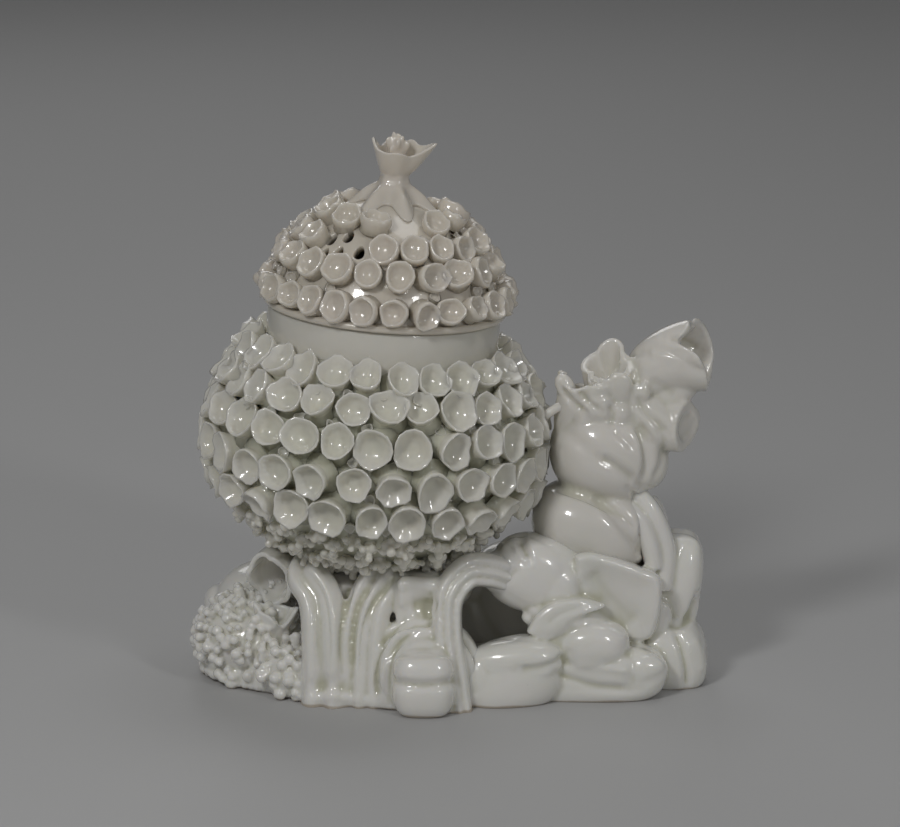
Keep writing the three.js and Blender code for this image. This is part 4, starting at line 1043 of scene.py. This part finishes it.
TRUNK_MARKS = [
    [1.5, (6, 3), 20, (598, 458), (610, 464), (624, 474), (636, 484)],
    [0.8, (6, 3), 20, (612, 430), (624, 440), (634, 452)],
    [2.2, (7, 3), 20, (634, 420), (643, 440), (646, 464), (640, 486)],
    [1.2, 3.5, 20, (656, 424), (662, 440), (662, 462), (652, 486)],
    [1.8, (8, 3), 20, (548, 486), (568, 492), (590, 500), (612, 511), (628, 524), (642, 541)],
    [1.7, 3, 20, (628, 488), (640, 504), (644, 526), (638, 552)],
    [0.8, 9, 20, (540, 532), (566, 550), (600, 560)],
    [1.5, 3, 20, (560, 386), (570, 400), (586, 412)],
    [1.5, 3, 20, (578, 390), (588, 402), (602, 412)],
    [1.2, 3, 20, (610, 404), (613, 414), (611, 424)],
    [1.6, 4, 20, (634, 392), (644, 410), (658, 424), (668, 434)],
    [1.2, 4, 20, (664, 338), (684, 342), (700, 350)],
    [-1.0, 5, 20, (646, 352), (668, 356), (692, 364)],
    [1.2, 4, 20, (628, 352), (636, 370), (640, 388)],
    [0.9, 5, 20, (646, 380), (664, 388), (676, 398)],
]
LEFT_MARKS = [
    [1.3, 2.6, -8, (304, 568), (322, 594), (328, 626), (329, 668)],
    [0.8, 2.2, -8, (296, 574), (312, 598), (317, 628), (318, 664)],
    [1.6, 3, -8, (352, 582), (346, 604), (342, 636), (342, 672)],
    [1.7, 3, -8, (374, 580), (358, 606), (352, 640), (352, 676)],
    [1.7, 3, -8, (394, 580), (374, 604), (362, 636), (360, 684)],
    [1.8, 2.6, -8, (404, 622), (386, 640), (377, 664), (376, 700)],
    [1.8, 2.6, -8, (416, 630), (398, 644), (389, 664), (388, 704)],
    [-0.8, 3, -8, (408, 626), (392, 642), (383, 664), (382, 700)],
    [0.5, 4, -8, (396, 682), (424, 684), (456, 681)],
    [0.7, 3, -8, (402, 652), (424, 650), (448, 654)],
    [2.2, 9, -8, (410, 608), (424, 606), (434, 612)],
    [-1.4, 4, -8, (402, 578), (402, 594), (403, 610)],
    [1.0, 9, -8, (300, 690), (330, 684), (350, 690)],
    [-0.9, 5, -8, (306, 700), (336, 696), (366, 702)],
]

# Small lobes pressed on round the mouths of the trunk: place, half sizes and turn
LOBES = [
    ((56.2, -10.6, 104.0), (4.8, 2.4, 6.2), (14, 0, 0)),
    ((62.5, -8.6, 100.5), (3.6, 3.0, 6.5), (10, 24, 0)),
    ((66.0, -8.0, 95.0), (4.2, 3.6, 5.2), (0, 30, 0)),
    ((74.5, -2.0, 101.5), (10.5, 6.5, 6.5), (0, -38, 0)),
    ((49.0, -12.0, 97.5), (5.6, 3.0, 5.6), (14, 0, 0)),
    ((55.5, -9.5, 95.5), (5.2, 4.5, 4.6), (0, 0, 0)),
    ((38.2, -8.0, 104.0), (3.2, 2.6, 5.0), (0, -26, 0)),
]

# Small struts of the rockwork: both ends and the radius
STRUTS = [
    ((-17, -29.5, 29), (-17, -28.5, 42.5), 2.1),
    ((-17, -29, 41.2), (-4, -30.5, 41.0), 2.6),
    ((-40, -20, 37), (-32, -20, 37.6), 1.4),
    ((-36.3, -20, 37), (-36.3, -22, 27), 1.3),
]
# Leaves of the right-hand rocks: outline, nearest y, thickness, dish, tilt
LEAVES = [
    ([(575, 555), (590, 553), (607, 557), (625, 563), (643, 571), (658, 579), (660, 600), (657, 622),
      (650, 640), (636, 643), (620, 636), (602, 622), (587, 604), (577, 580)],
     -22.4, 14, 1.3, (0.05, -0.12)),
    ([(526, 630), (536, 614), (552, 603), (568, 600), (584, 600), (604, 607), (586, 613), (573, 622),
      (562, 632), (544, 638)], -30, 11, -1.2, (0.12, 0.0)),
]
# Soft forms laid over the right-hand rocks: place, half sizes and turn
PILLOWS = [
    ((21.0, -29.5, 14.0), (16.5, 8.2, 7.6), (0, -6, -4)),
    ((6.5, -30.0, 7.5), (9.5, 8.0, 9.5), (0, 24, 0)),
    ((27.0, -18.0, 42.0), (13.5, 9.0, 11.5), (0, 22, 0)),
    ((18.5, -18.0, 41.5), (9.0, 7.5, 7.5), (0, 20, 0)),
    ((35.5, -18.0, 37.0), (9.0, 8.5, 9.5), (0, 0, 0)),
    ((37.0, -22.5, 19.5), (7.0, 7.0, 7.0), (0, 0, 0)),
    ((67.0, -10.5, 23.5), (8.0, 6.0, 7.0), (0, 0, 0)),
]
# The same between the rocks at the back
BACK_PILLOWS = [
    ((-76.0, 14.0, 12.0), (8.5, 12.0, 12.0), (0, 0, 30)),
    ((-79.0, 27.0, 18.0), (7.0, 8.5, 6.5), (0, 12, 24)),
    ((-70.0, 39.0, 8.0), (10.0, 8.0, 9.0), (0, 0, 24)),
    ((-58.0, 34.0, 27.0), (11.0, 9.0, 6.5), (0, 16, 0)),
    ((-43.0, 36.0, 11.0), (15.0, 12.5, 13.5), (0, 20, 0)),
    ((-34.0, 30.0, 27.0), (16.0, 12.0, 9.0), (0, -24, 0)),
    ((-3.0, 39.0, 9.0), (15.0, 10.5, 13.0), (0, -16, 0)),
    ((0.0, 30.0, 27.0), (17.0, 12.0, 9.0), (0, 14, 0)),
    ((38.0, 34.5, 10.0), (16.0, 12.0, 13.0), (0, 18, 0)),
    ((40.0, 24.0, 29.0), (16.0, 13.0, 8.0), (0, -18, 0)),
    ((72.0, 31.0, 6.0), (11.0, 8.0, 8.0), (0, 0, -30)),
    ((24.0, 46.0, 5.0), (18.0, 6.0, 6.5), (0, 0, -4)),
    ((-26.0, 49.5, 5.0), (16.0, 5.5, 6.0), (0, 0, 4)),
]
BACK_PLATE = ((76.0, -1.5, 33.5), (9.0, 6.0, 17.0), (0, 5, 14))
# Long folds behind them: the path and the number of ribs of a band
FOLDS = [
    ([(62, -5, 67, 3, 4.5), (67, -6.5, 61, 3.4, 5.5), (70.5, -6, 53, 3.6, 5.5),
      (72.2, -5.5, 45, 3.6, 5.5), (71, -6.5, 33, 3.6, 5.5)], 1),
    ([(58, -8, 63, 2.6, 4.5), (63, -9, 58, 3.0, 5), (66.5, -9, 50, 3.2, 5), (68.5, -8.5, 41, 3, 4.5)],
     1),
]


def rod(start, end, radius):
    """A short round rod with rounded ends."""
    a, b = np.array(start, float), np.array(end, float)
    rows = [[*(a + (b - a) * s), radius, radius] for s in np.linspace(0, 1, 5)]
    return band(rows, (0.2, 1, 0.3), 1, 0, 24, 16)


def lumps(rows, power, around=64, high=40):
    """Plain rocks of one power, each from its place, half sizes and turn."""
    return [rock(*row, power, around=around, high=high) for row in rows]


# The luted pieces: their nodes, what is laid on besides, glaze, voxel in mm and tool marks. The
# first of the leaves stands for leaf_slab, which has no shape of its own here.
GROUPS = [
    ("base_left", ["plinth", "fall_left", "fall_middle", "scroll_rings", "scroll_foot", "niche",
                   "arch_right", "crown_rock", "pillar_rock"],
     [rod(*strut) for strut in STRUTS], base_glaze, 0.71, LEFT_MARKS),
    ("base_right", ["shoulder_rock", "front_left_boulder", "leaf_boulder", "oval_boulder",
                    "front_slab", "right_boulder", "leaf_slab", "back_slab", "folds"],
     [plate(*leaf) for leaf in LEAVES] + lumps(PILLOWS, 2.5) + lumps([BACK_PLATE], 3.6, 80, 56)
     + [band(rows, (0.2, -1, 0.1), ribs, 0.0) for rows, ribs in FOLDS], base_glaze, 0.62, RIGHT_MARKS),
    ("trunk", ["trunk_root", "trunk_middle", "trunk_upper", "trunk_flare", "branch_front",
               "branch_upper", "branch_lower"],
     lumps(LOBES, 2.2, 48, 32), trunk_glaze, 0.58, TRUNK_MARKS),
    ("base_back", ["back_rock_left", "back_rock_middle", "back_rock_right", "back_boulder"],
     lumps(BACK_PILLOWS, 2.3), base_glaze, 0.8, ()),
]
for name, members, laid_on, material, voxel, strokes in GROUPS:
    surfaces = [shapes[node] for node in members if node in shapes] + laid_on
    luted_piece(name, surfaces, members, material, voxel, soften=3, strokes=strokes)


# The coral, the twig and the sprigs

def pegs(roots, axes, radius, length, waist=0.68, around=9):
    """Short stalks with rounded heads: six rings round each axis, whose radius is 0.75 at the
    foot, `waist` halfway up and 1 at the head."""
    phi = circle(around)
    side = unit(np.cross(axes, np.array([0.31, 0.52, 0.8])))
    up = np.cross(axes, side)
    head = length - radius
    rings = []
    for share, height in [(0.6, -radius), (0.75, 0 * radius), (waist, 0.5 * head), (0.92, head),
                          (0.98, head + 0.4 * radius), (0.62, head + 0.86 * radius)]:
        r = (radius * share)[:, None, None]
        rings.append(roots[:, None] + side[:, None] * np.cos(phi)[None, :, None] * r
                     + up[:, None] * np.sin(phi)[None, :, None] * r
                     + axes[:, None] * height[:, None, None])
    tip = roots + axes * (head + radius)[:, None]
    foot = roots - axes * radius[:, None] * 1.3
    return closed_copies(np.stack(rings, 1), foot, tip)


GOLDEN_ANGLE = 2.399963


def strewn(centre, half, lowest, n, chance, jitter):
    """Places on an oval at equal-area steps along a spiral from `lowest` to the pole, with
    their outward directions."""
    k = np.arange(n)
    lift = lowest + (0.99 - lowest) * (k + 0.5) / n
    d = round_axis(np.sqrt(1 - lift ** 2), GOLDEN_ANGLE * k, lift)
    d = unit(d + chance.normal(0, jitter, d.shape))
    return np.array(centre) + d * np.array(half), unit(d / np.array(half))


# The heap's oval body and the smaller one in front of it: middle and half sizes
HEAP = ((-68.6, -1.0, 14.0), (19.6, 19.0, 15.6))
HEAP_FRONT = ((-54.5, -13, 8), (12, 17, 12.5))
# Low lumps between the drips: middle and half sizes of their oval, and how many there are, all
# below LUMP_TOP. Drips hang where the foot line lies left of DRIP_RIGHT, in front of DRIP_BACK.
LOW_LUMPS = [((-66, 0, 5), (18.5, 19.0, 9.0), 90), ((-53, -13.5, 5), (12.0, 17.5, 9.0), 50)]
LUMP_TOP = 13
DRIP_RIGHT, DRIP_BACK = -47, 26
# The path of the torn leaf between the coral and the left-hand fall, an upright cup, and the
# waves of its ragged rim
TORN_LEAF = [(-61, -12, 15, 4, 4), (-61, -13, 21, 5.5, 4.5), (-60, -14.5, 27.5, 8, 5.4)]
TORN_RIM = [(-10, 3, 0.5), (-62, -4.5, 0.3), (-125, 0.5, 0.35), (180, 2, 0.4)]


def coral():
    """The coral heap: an oval mound under stubby pegs, which droop and run together lower down.
    Below them hang drips, from the mound to just outside the foot line, between low lumps."""
    chance = np.random.default_rng(11)
    centre, half = HEAP
    surfaces = [rock(centre, tuple(0.9 * h for h in half), (0, 0, 0), 2),
                rock((-66, 1, 4.5), (17.5, 18.0, 7.5), (0, 0, 0), 2.3),
                rock((-54, -14, 7), (11, 16, 10.5), (0, 0, 0), 2.1)]
    for oval, lowest, n in [(HEAP, -0.25, 215), (HEAP_FRONT, -0.1, 70)]:
        place, out = strewn(*oval, lowest, n, chance, 0.07)
        high = np.clip((place[:, 2] - 15) / 10, 0, 1)
        low = 1 - np.clip((place[:, 2] - 6) / 12, 0, 1)
        size = chance.uniform(1.1, 2.1, n) + 0.6 * low * chance.uniform(0, 1, n)
        axes = unit(out + chance.normal(0, 0.22, out.shape) - np.outer(low, [0, 0, 1.4]))
        length = size + chance.uniform(0.5, 1.9, n) + 3.2 * high * chance.uniform(0, 1, n) ** 3
        length = length + 2.2 * low * chance.uniform(0, 1, n)
        surfaces.append(pegs(place - out * 1.3, axes, size, length, 0.88))
    for centre, half, n in LOW_LUMPS:
        place, out = strewn(centre, half, -0.45, n, chance, 0.1)
        below = place[:, 2] < LUMP_TOP
        place, out = place[below], out[below]
        size = chance.uniform(1.3, 2.6, len(place))
        length = size + chance.uniform(0.3, 1.8, len(place))
        roots = place - out * size[:, None] * 0.9
        surfaces.append(pegs(roots, unit(out - [0, 0, 0.8]), size, length, 0.95))
    line = along([*FOOT_LINE[-4:], *FOOT_LINE[:7]], np.linspace(0, 1, 240))
    line = line[(line[:, 0] < DRIP_RIGHT) & (line[:, 1] < DRIP_BACK)][::6]
    n = len(line)
    inwards = unit(np.array([-58.0, 0]) - line)
    wide = chance.uniform(1.7, 2.8, n)
    low = np.concatenate([line + inwards * (wide - 1.7 + chance.uniform(0, 0.8, n))[:, None],
                          np.full((n, 1), 0.3)], axis=1)
    top = chance.uniform(5, 15, n)
    high = np.concatenate([line + inwards * (wide - 0.6 + 0.12 * top)[:, None], top[:, None]], axis=1)
    surfaces.append(pegs(high, unit(low - high), wide, np.linalg.norm(low - high, axis=1), 0.85))
    surfaces.append(open_branch(TORN_LEAF, (0, 1, 0), (4, 0.14, 0.5), TORN_RIM, 1.5, 0.62))
    return surfaces


def sprays():
    """Taller, thinner coral twigs that stand away from one root."""
    chance = np.random.default_rng(5)
    place, out = strewn((-63, 0, 29.5), (3.5, 3.5, 4.0), 0.1, 26, chance, 0.2)
    size = chance.uniform(0.8, 1.25, 26)
    axes = unit(out + chance.normal(0, 0.2, out.shape))
    return [rock((-63, 1, 30), (5.0, 5.0, 5.6), (0, 0, 0), 2, around=40, high=24),
            pegs(place, axes, size, chance.uniform(2.4, 4.6, 26))]


# The shell beside the coral and the waves of its rim, and the twig's path
SCOOP = [
    (-53, 6, 36, 5, 4.5), (-56.5, 0, 37.5, 8, 6.2), (-59.5, -6, 38.5, 10, 7.8),
    (-62, -12.5, 37.5, 10.6, 8.2),
]
SCOOP_RIM = [(-50, -3.5, 0.3), (-110, 2, 0.25), (20, -2, 0.3), (150, 2, 0.4)]
TWIG = [(41, -6, 97, 1.7, 1.7), (36, -8, 97, 1.6, 1.6), (31, -9, 94, 1.5, 1.5)]

luted_piece("coral_heap", coral(), ["coral_balls", "coral_mound"], base_glaze, 0.42, fill=0.25)
luted_piece("coral_twigs", sprays(), ["coral_sprays"], base_glaze, 0.34, fill=0.2)

scoop = open_branch(SCOOP, (1, 0, 0.1), (5, 0.07, 0.4), SCOOP_RIM, 1.7, 0.8, 128)
luted_piece("scoop_leaf", [scoop], ["shell_scoop"], base_glaze, 0.42, fill=0.2)

mesh = mesh_of("trunk_twig", *band(TWIG, (0, 1, 0), 1, 0, 20, 16))
write_attribute(mesh, "pool_and_shade", np.zeros(len(mesh.vertices)))
finished("trunk_twig", mesh, "vase", ["twig"], trunk_glaze)


# The bowl

# Both turned walls go up the outside and down the inside. Three points round off each corner.
fine_belly = along(BELLY[:-1], np.linspace(0, 1, 60))[:, :2]
belly_inside = within(fine_belly[8:], WALL)[::-1]
neck = NECK_RADIUS
bowl_profile = np.vstack([
    [[0, STEM_FOOT]], fine_belly,
    [[neck, NECK_FOOT + 0.6], [neck, NECK_RIM - 0.7], [neck - 0.3, NECK_RIM - 0.2],
     [neck - 0.9, NECK_RIM], [neck - WALL + 0.9, NECK_RIM], [neck - WALL + 0.3, NECK_RIM - 0.2],
     [neck - WALL, NECK_RIM - 0.7]],
    belly_inside, [[0, belly_inside[-1][1] - 0.4]]])
points, faces = turned(bowl_profile)
mesh = mesh_of("bowl", leaning(points), faces)
upright = read(mesh.vertices, "co")
a = math.radians(BOWL_LEAN)
height = (upright[:, 0] / MM - BOWL_AXIS_X) * math.sin(a) + upright[:, 2] / MM * math.cos(a)
# Below the neck's foot the wall shows only between the cups; there it turns to pooled olive with painted
# shade.
write_attribute(mesh, "pool_and_shade", np.clip((NECK_FOOT - 0.5 - height) / 3.0, 0, 1))
finished("bowl", mesh, "vase", ["bowl_shell"], wall_shaded_glaze)


def on_bowl(row):
    """A row of the bowl, its place turned into a height."""
    name, count, place, azimuth = row
    height = float(np.interp(place, [0, 1, 2], [STEM_FOOT, BOWL_WIDEST, NECK_FOOT]))
    return name, count, height, azimuth


bowl_rows = [on_bowl(row) for row in BOWL_ROWS]
cup_rows = 5
for k in range(cup_rows):
    blossom_piece(BELLY, bowl_rows, k, CUP_RADIUS, BLOSSOM_REACH + RIM_EXTRA, BOWL_SEED + k, "vase",
                  bowl_glaze)


def stars(row, seed, arms=5, deep=2, drop=3.2):
    """Sprigs: on each seat, petals that spread like a star round a central one, `deep` rows
    with a drop between them, run together under the glaze. Those in front hang lower."""
    name, count, height, azimuth = row
    chance = np.random.default_rng(seed)
    steps = [(name, count, height - drop * k, azimuth + k * 170 / count) for k in range(deep)]
    sets = [row_seats(BELLY, step, STAR_RADIUS, BLOSSOM_REACH) for step in steps]
    root, normal, side = (np.concatenate(part) for part in list(zip(*sets))[:3])
    up = np.cross(normal, side)
    n = len(root)
    angle = chance.uniform(0, 6.28, n)[:, None] + circle(arms)
    angle = angle + chance.normal(0, 0.25, angle.shape)
    spread = chance.uniform(0.8, 2.2, angle.shape)[..., None]
    ray = side[:, None] * np.cos(angle)[..., None] + up[:, None] * np.sin(angle)[..., None]
    axes = unit(normal[:, None] + ray * spread)
    axes = np.concatenate([axes.reshape(-1, 3), normal])
    roots = np.concatenate([np.repeat(root, arms, 0), root]) - axes * 0.6
    size = chance.uniform(1.0, 1.9, len(axes))
    front = 1 + 0.35 * np.clip(-axes[:, 1], 0, 1) * np.clip(1 - np.abs(roots[:, 0]) / 30, 0, 1)
    length = size + chance.uniform(2.0, 4.6, len(axes)) * front
    points, faces = pegs(roots, axes, size, length, around=8)
    luted_piece(name + "_stars", [(leaning(points), faces)], [name], bowl_glaze, 0.5, fill=0.3)


for k, row in enumerate(bowl_rows[cup_rows:]):
    stars(row, STAR_SEED + k)
for k, row in enumerate(SPRIG_ROWS):
    stars(on_bowl(row), SPRIG_SEED + k)


# The lid

def almond(half_width, half_height, around=24):
    """Outline of a hole: an oval drawn to a point at its upper end."""
    phi = circle(around)
    y = np.cos(phi) * half_height
    x = np.sin(phi) * half_width * (1 - 0.35 * np.cos(phi)) * 1.1
    return x, y


# Rings along a drill: the share of the hole's outline, and the distance from the wall's outside
DRILL_RINGS = [(1.15, -7.0), (1.2, -1.2), (1.32, -0.25), (1.75, 0.6), (1.8, 3.0)]


def lid_drills():
    """Bodies that cut the lid's holes, each along the wall's normal and wider towards the
    outside."""
    surfaces = []
    x, y = almond(*HOLE_HALF)
    for azimuth, share in LID_HOLES:
        r, z, lean = seat_on(DOME, between(RIM_TOP, APEX, share))
        theta = math.radians(azimuth)
        radial = np.array([math.cos(theta), math.sin(theta), 0])
        side = np.array([-math.sin(theta), math.cos(theta), 0])
        normal = radial * math.cos(lean) + np.array([0, 0, math.sin(lean)])
        up = np.cross(normal, side)
        root = radial * r + np.array([0, 0, z])
        rings = [root + side * x[:, None] * k + up * y[:, None] * k + normal * d
                 for k, d in DRILL_RINGS]
        surfaces.append(closed_grid(np.stack(rings)))
    return joined(surfaces)


fine_dome = along(DOME, np.linspace(0, 1, 60))[:, :2]
dome_inside = within(fine_dome, LID_WALL)
flange = NECK_RADIUS - WALL - FLANGE_GAP
flange_end = NECK_RIM - FLANGE_DEPTH
lid_profile = np.vstack([
    [[0, APEX]], fine_dome[::-1][1:],
    [[LID_RADIUS - 0.9, RIM_TOP], [LID_RADIUS - 0.3, RIM_TOP - 0.3], [LID_RADIUS, RIM_TOP - 0.9],
     [LID_RADIUS, LID_BOTTOM + 0.8], [LID_RADIUS - 0.3, LID_BOTTOM + 0.2],
     [LID_RADIUS - 0.9, LID_BOTTOM], [flange + 0.3, LID_BOTTOM], [flange, LID_BOTTOM - 0.3],
     [flange, flange_end + 0.6], [flange - 0.6, flange_end], [flange - 1.8, flange_end],
     [flange - 2.4, flange_end + 0.6], [flange - 2.4, RIM_TOP]],
    dome_inside[4:-1], [[0, APEX - LID_WALL]]])


def pierced(name, points, faces, drill_points, drill_faces):
    """A wall with holes: the drills taken away from it."""
    wall = linked(name + "_wall", mesh_of(name + "_wall", points, faces))
    drills = linked(name + "_drills", mesh_of(name + "_drills", drill_points, drill_faces))
    cut = wall.modifiers.new("pierce", "BOOLEAN")
    cut.operation = "DIFFERENCE"
    cut.solver = "EXACT"
    cut.object = drills
    mesh = modified(name, wall)
    bpy.data.objects.remove(drills)
    return mesh


points, faces = turned(lid_profile, 144)
drill_points, drill_faces = lid_drills()
mesh = pierced("lid_dome", leaning(points), faces, leaning(drill_points), drill_faces)
# The dome, seen only between the cups, is tinted all over towards the pooled olive, as painted shade
# between the cups.
write_attribute(mesh, "pool_and_shade", np.full(len(mesh.vertices), 0.35))
finished("lid_dome", mesh, "lid", ["lid_shell"], lid_glaze)

lid_rows = [(name, count, between(RIM_TOP, APEX, place), *rest)
            for name, count, place, *rest in LID_ROWS]
for k in range(len(lid_rows)):
    blossom_piece(DOME, lid_rows, k, LID_CUP_RADIUS, LID_REACH + RIM_EXTRA, LID_SEED + k, "lid",
                  lid_glaze, tilt=0.2, rings=LID_CUP_RINGS, floor=0.24)

# The bud's half sizes across, and the swellings of its petals
BUD_HALF = (3.0, 2.6)
BUD_SWELLINGS = [
    (1, -0.2, 0.3, 0.5, 0.2), (-0.9, -0.3, 0.45, 0.5, 0.2), (0.1, -1, 0.45, 0.5, 0.18),
    (-0.5, -0.8, 0.05, 0.35, 0.18), (0.6, -0.6, 0.8, 0.3, 0.14), (-0.45, -0.3, 0.9, 0.3, 0.14),
    (0.1, 0.8, 0.5, 0.4, 0.2),
]
bud_foot = NECK_TOP + 2.9
bud = rock((0, 0, (FINIAL_TOP + bud_foot) / 2 - 0.8), (*BUD_HALF, (FINIAL_TOP - bud_foot) / 2),
           (0, 0, 0), 2, BUD_SWELLINGS, around=64, high=48)
surfaces = [(leaning(points), faces)
            for points, faces in [closed_grid(sepal_rings()), closed_grid(petal_rings()), bud]]
luted_piece("finial", surfaces, ["finial_sepals", "finial_petals", "finial_bud"], lid_glaze, 0.26,
            soften=2, body="lid", fill=0.3)


# Every piece moves from the potter's frame to the shared one, whose origin is the middle of
# the footprint. The bowl's own box gives the distance.

places = read(bpy.data.objects["bowl"].data.vertices, "co")
node_low, node_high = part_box("bowl_shell")
shift = (np.array(node_low) + np.array(node_high) - places.min(0) - places.max(0)) / 2
shift[2] = 0
for piece in bpy.data.objects:
    if piece.type == "MESH" and piece.name not in frame["nodes"]:
        places = read(piece.data.vertices, "co") + shift
        piece.data.vertices.foreach_set("co", places.ravel())
        piece.data.update()


# Floor, lamps and camera

FLOOR_GREY = (0.50, 0.50, 0.50, 1)
WORLD_STRENGTH = 0.16
SENSOR = 36


def backdrop(front=-3.0, back=1.6, bend=1.2, top=4.0, side=4.0):
    """A floor that curves up behind: straight, a quarter circle, then straight again."""
    turn = np.linspace(0, np.pi / 2, 24)
    y = np.concatenate([[front], back + bend * np.sin(turn), [back + bend]])
    z = np.concatenate([[0.0], bend - bend * np.cos(turn), [top]])
    x = np.array([-side, side])
    points = np.stack(np.broadcast_arrays(x, y[:, None], z[:, None]), -1)
    k = np.arange(len(y) - 1) * 2
    faces = np.stack([k, k + 1, k + 3, k + 2], -1)
    mesh = bpy.data.meshes.new("backdrop")
    mesh.from_pydata(points.reshape(-1, 3).tolist(), [], faces.tolist())
    mesh.shade_smooth()
    mesh.materials.append(Paint("pale_floor").set(Base_Color=FLOOR_GREY, Roughness=0.6))
    return mesh


sweep = linked("backdrop", backdrop())


def towards(direction):
    """Turn of a lamp or a camera that looks in this direction, with its upper side up."""
    return Vector(direction).to_track_quat("-Z", "Y").to_euler()


def lamp(name, place, aim, width, height, power):
    """A soft lamp: a bright rectangle at a place, turned to its aim, with its power in watts."""
    light = bpy.data.lights.new(name, "AREA")
    light.shape = "RECTANGLE"
    light.size = width
    light.size_y = height
    light.energy = power
    holder = linked(name, light)
    holder.location = place
    holder.rotation_euler = towards(Vector(aim) - Vector(place))


lamp("key", (-0.5, -0.9, 0.85), (0, 0, 0.09), 0.22, 0.22, 3.9)
lamp("fill", (0.7, -1.0, 0.7), (0, 0, 0.06), 0.14, 0.3, 2.1)
lamp("top", (0.15, 0.3, 1.1), (0, 0, 0.09), 0.6, 0.4, 1.2)
lamp("back", (-0.3, 1.3, 0.8), (0, 0, 0.08), 0.7, 0.5, 1.3)

world = bpy.data.worlds.new("studio")
world.use_nodes = True
background = world.node_tree.nodes["Background"]
background.inputs[0].default_value = (1, 1, 1, 1)
background.inputs[1].default_value = WORLD_STRENGTH
bpy.context.scene.world = world
bpy.context.scene.view_settings.view_transform = "Standard"

camera = bpy.data.cameras.new("camera")
camera.sensor_width = SENSOR
camera.lens = SENSOR * DISTANCE / PIXEL / PHOTO_WIDTH
camera.clip_end = 50
stand = linked("camera", camera)
stand.location = EYE * MM + shift
stand.rotation_euler = towards(LOOK)
bpy.context.scene.camera = stand

bpy.context.view_layer.update()
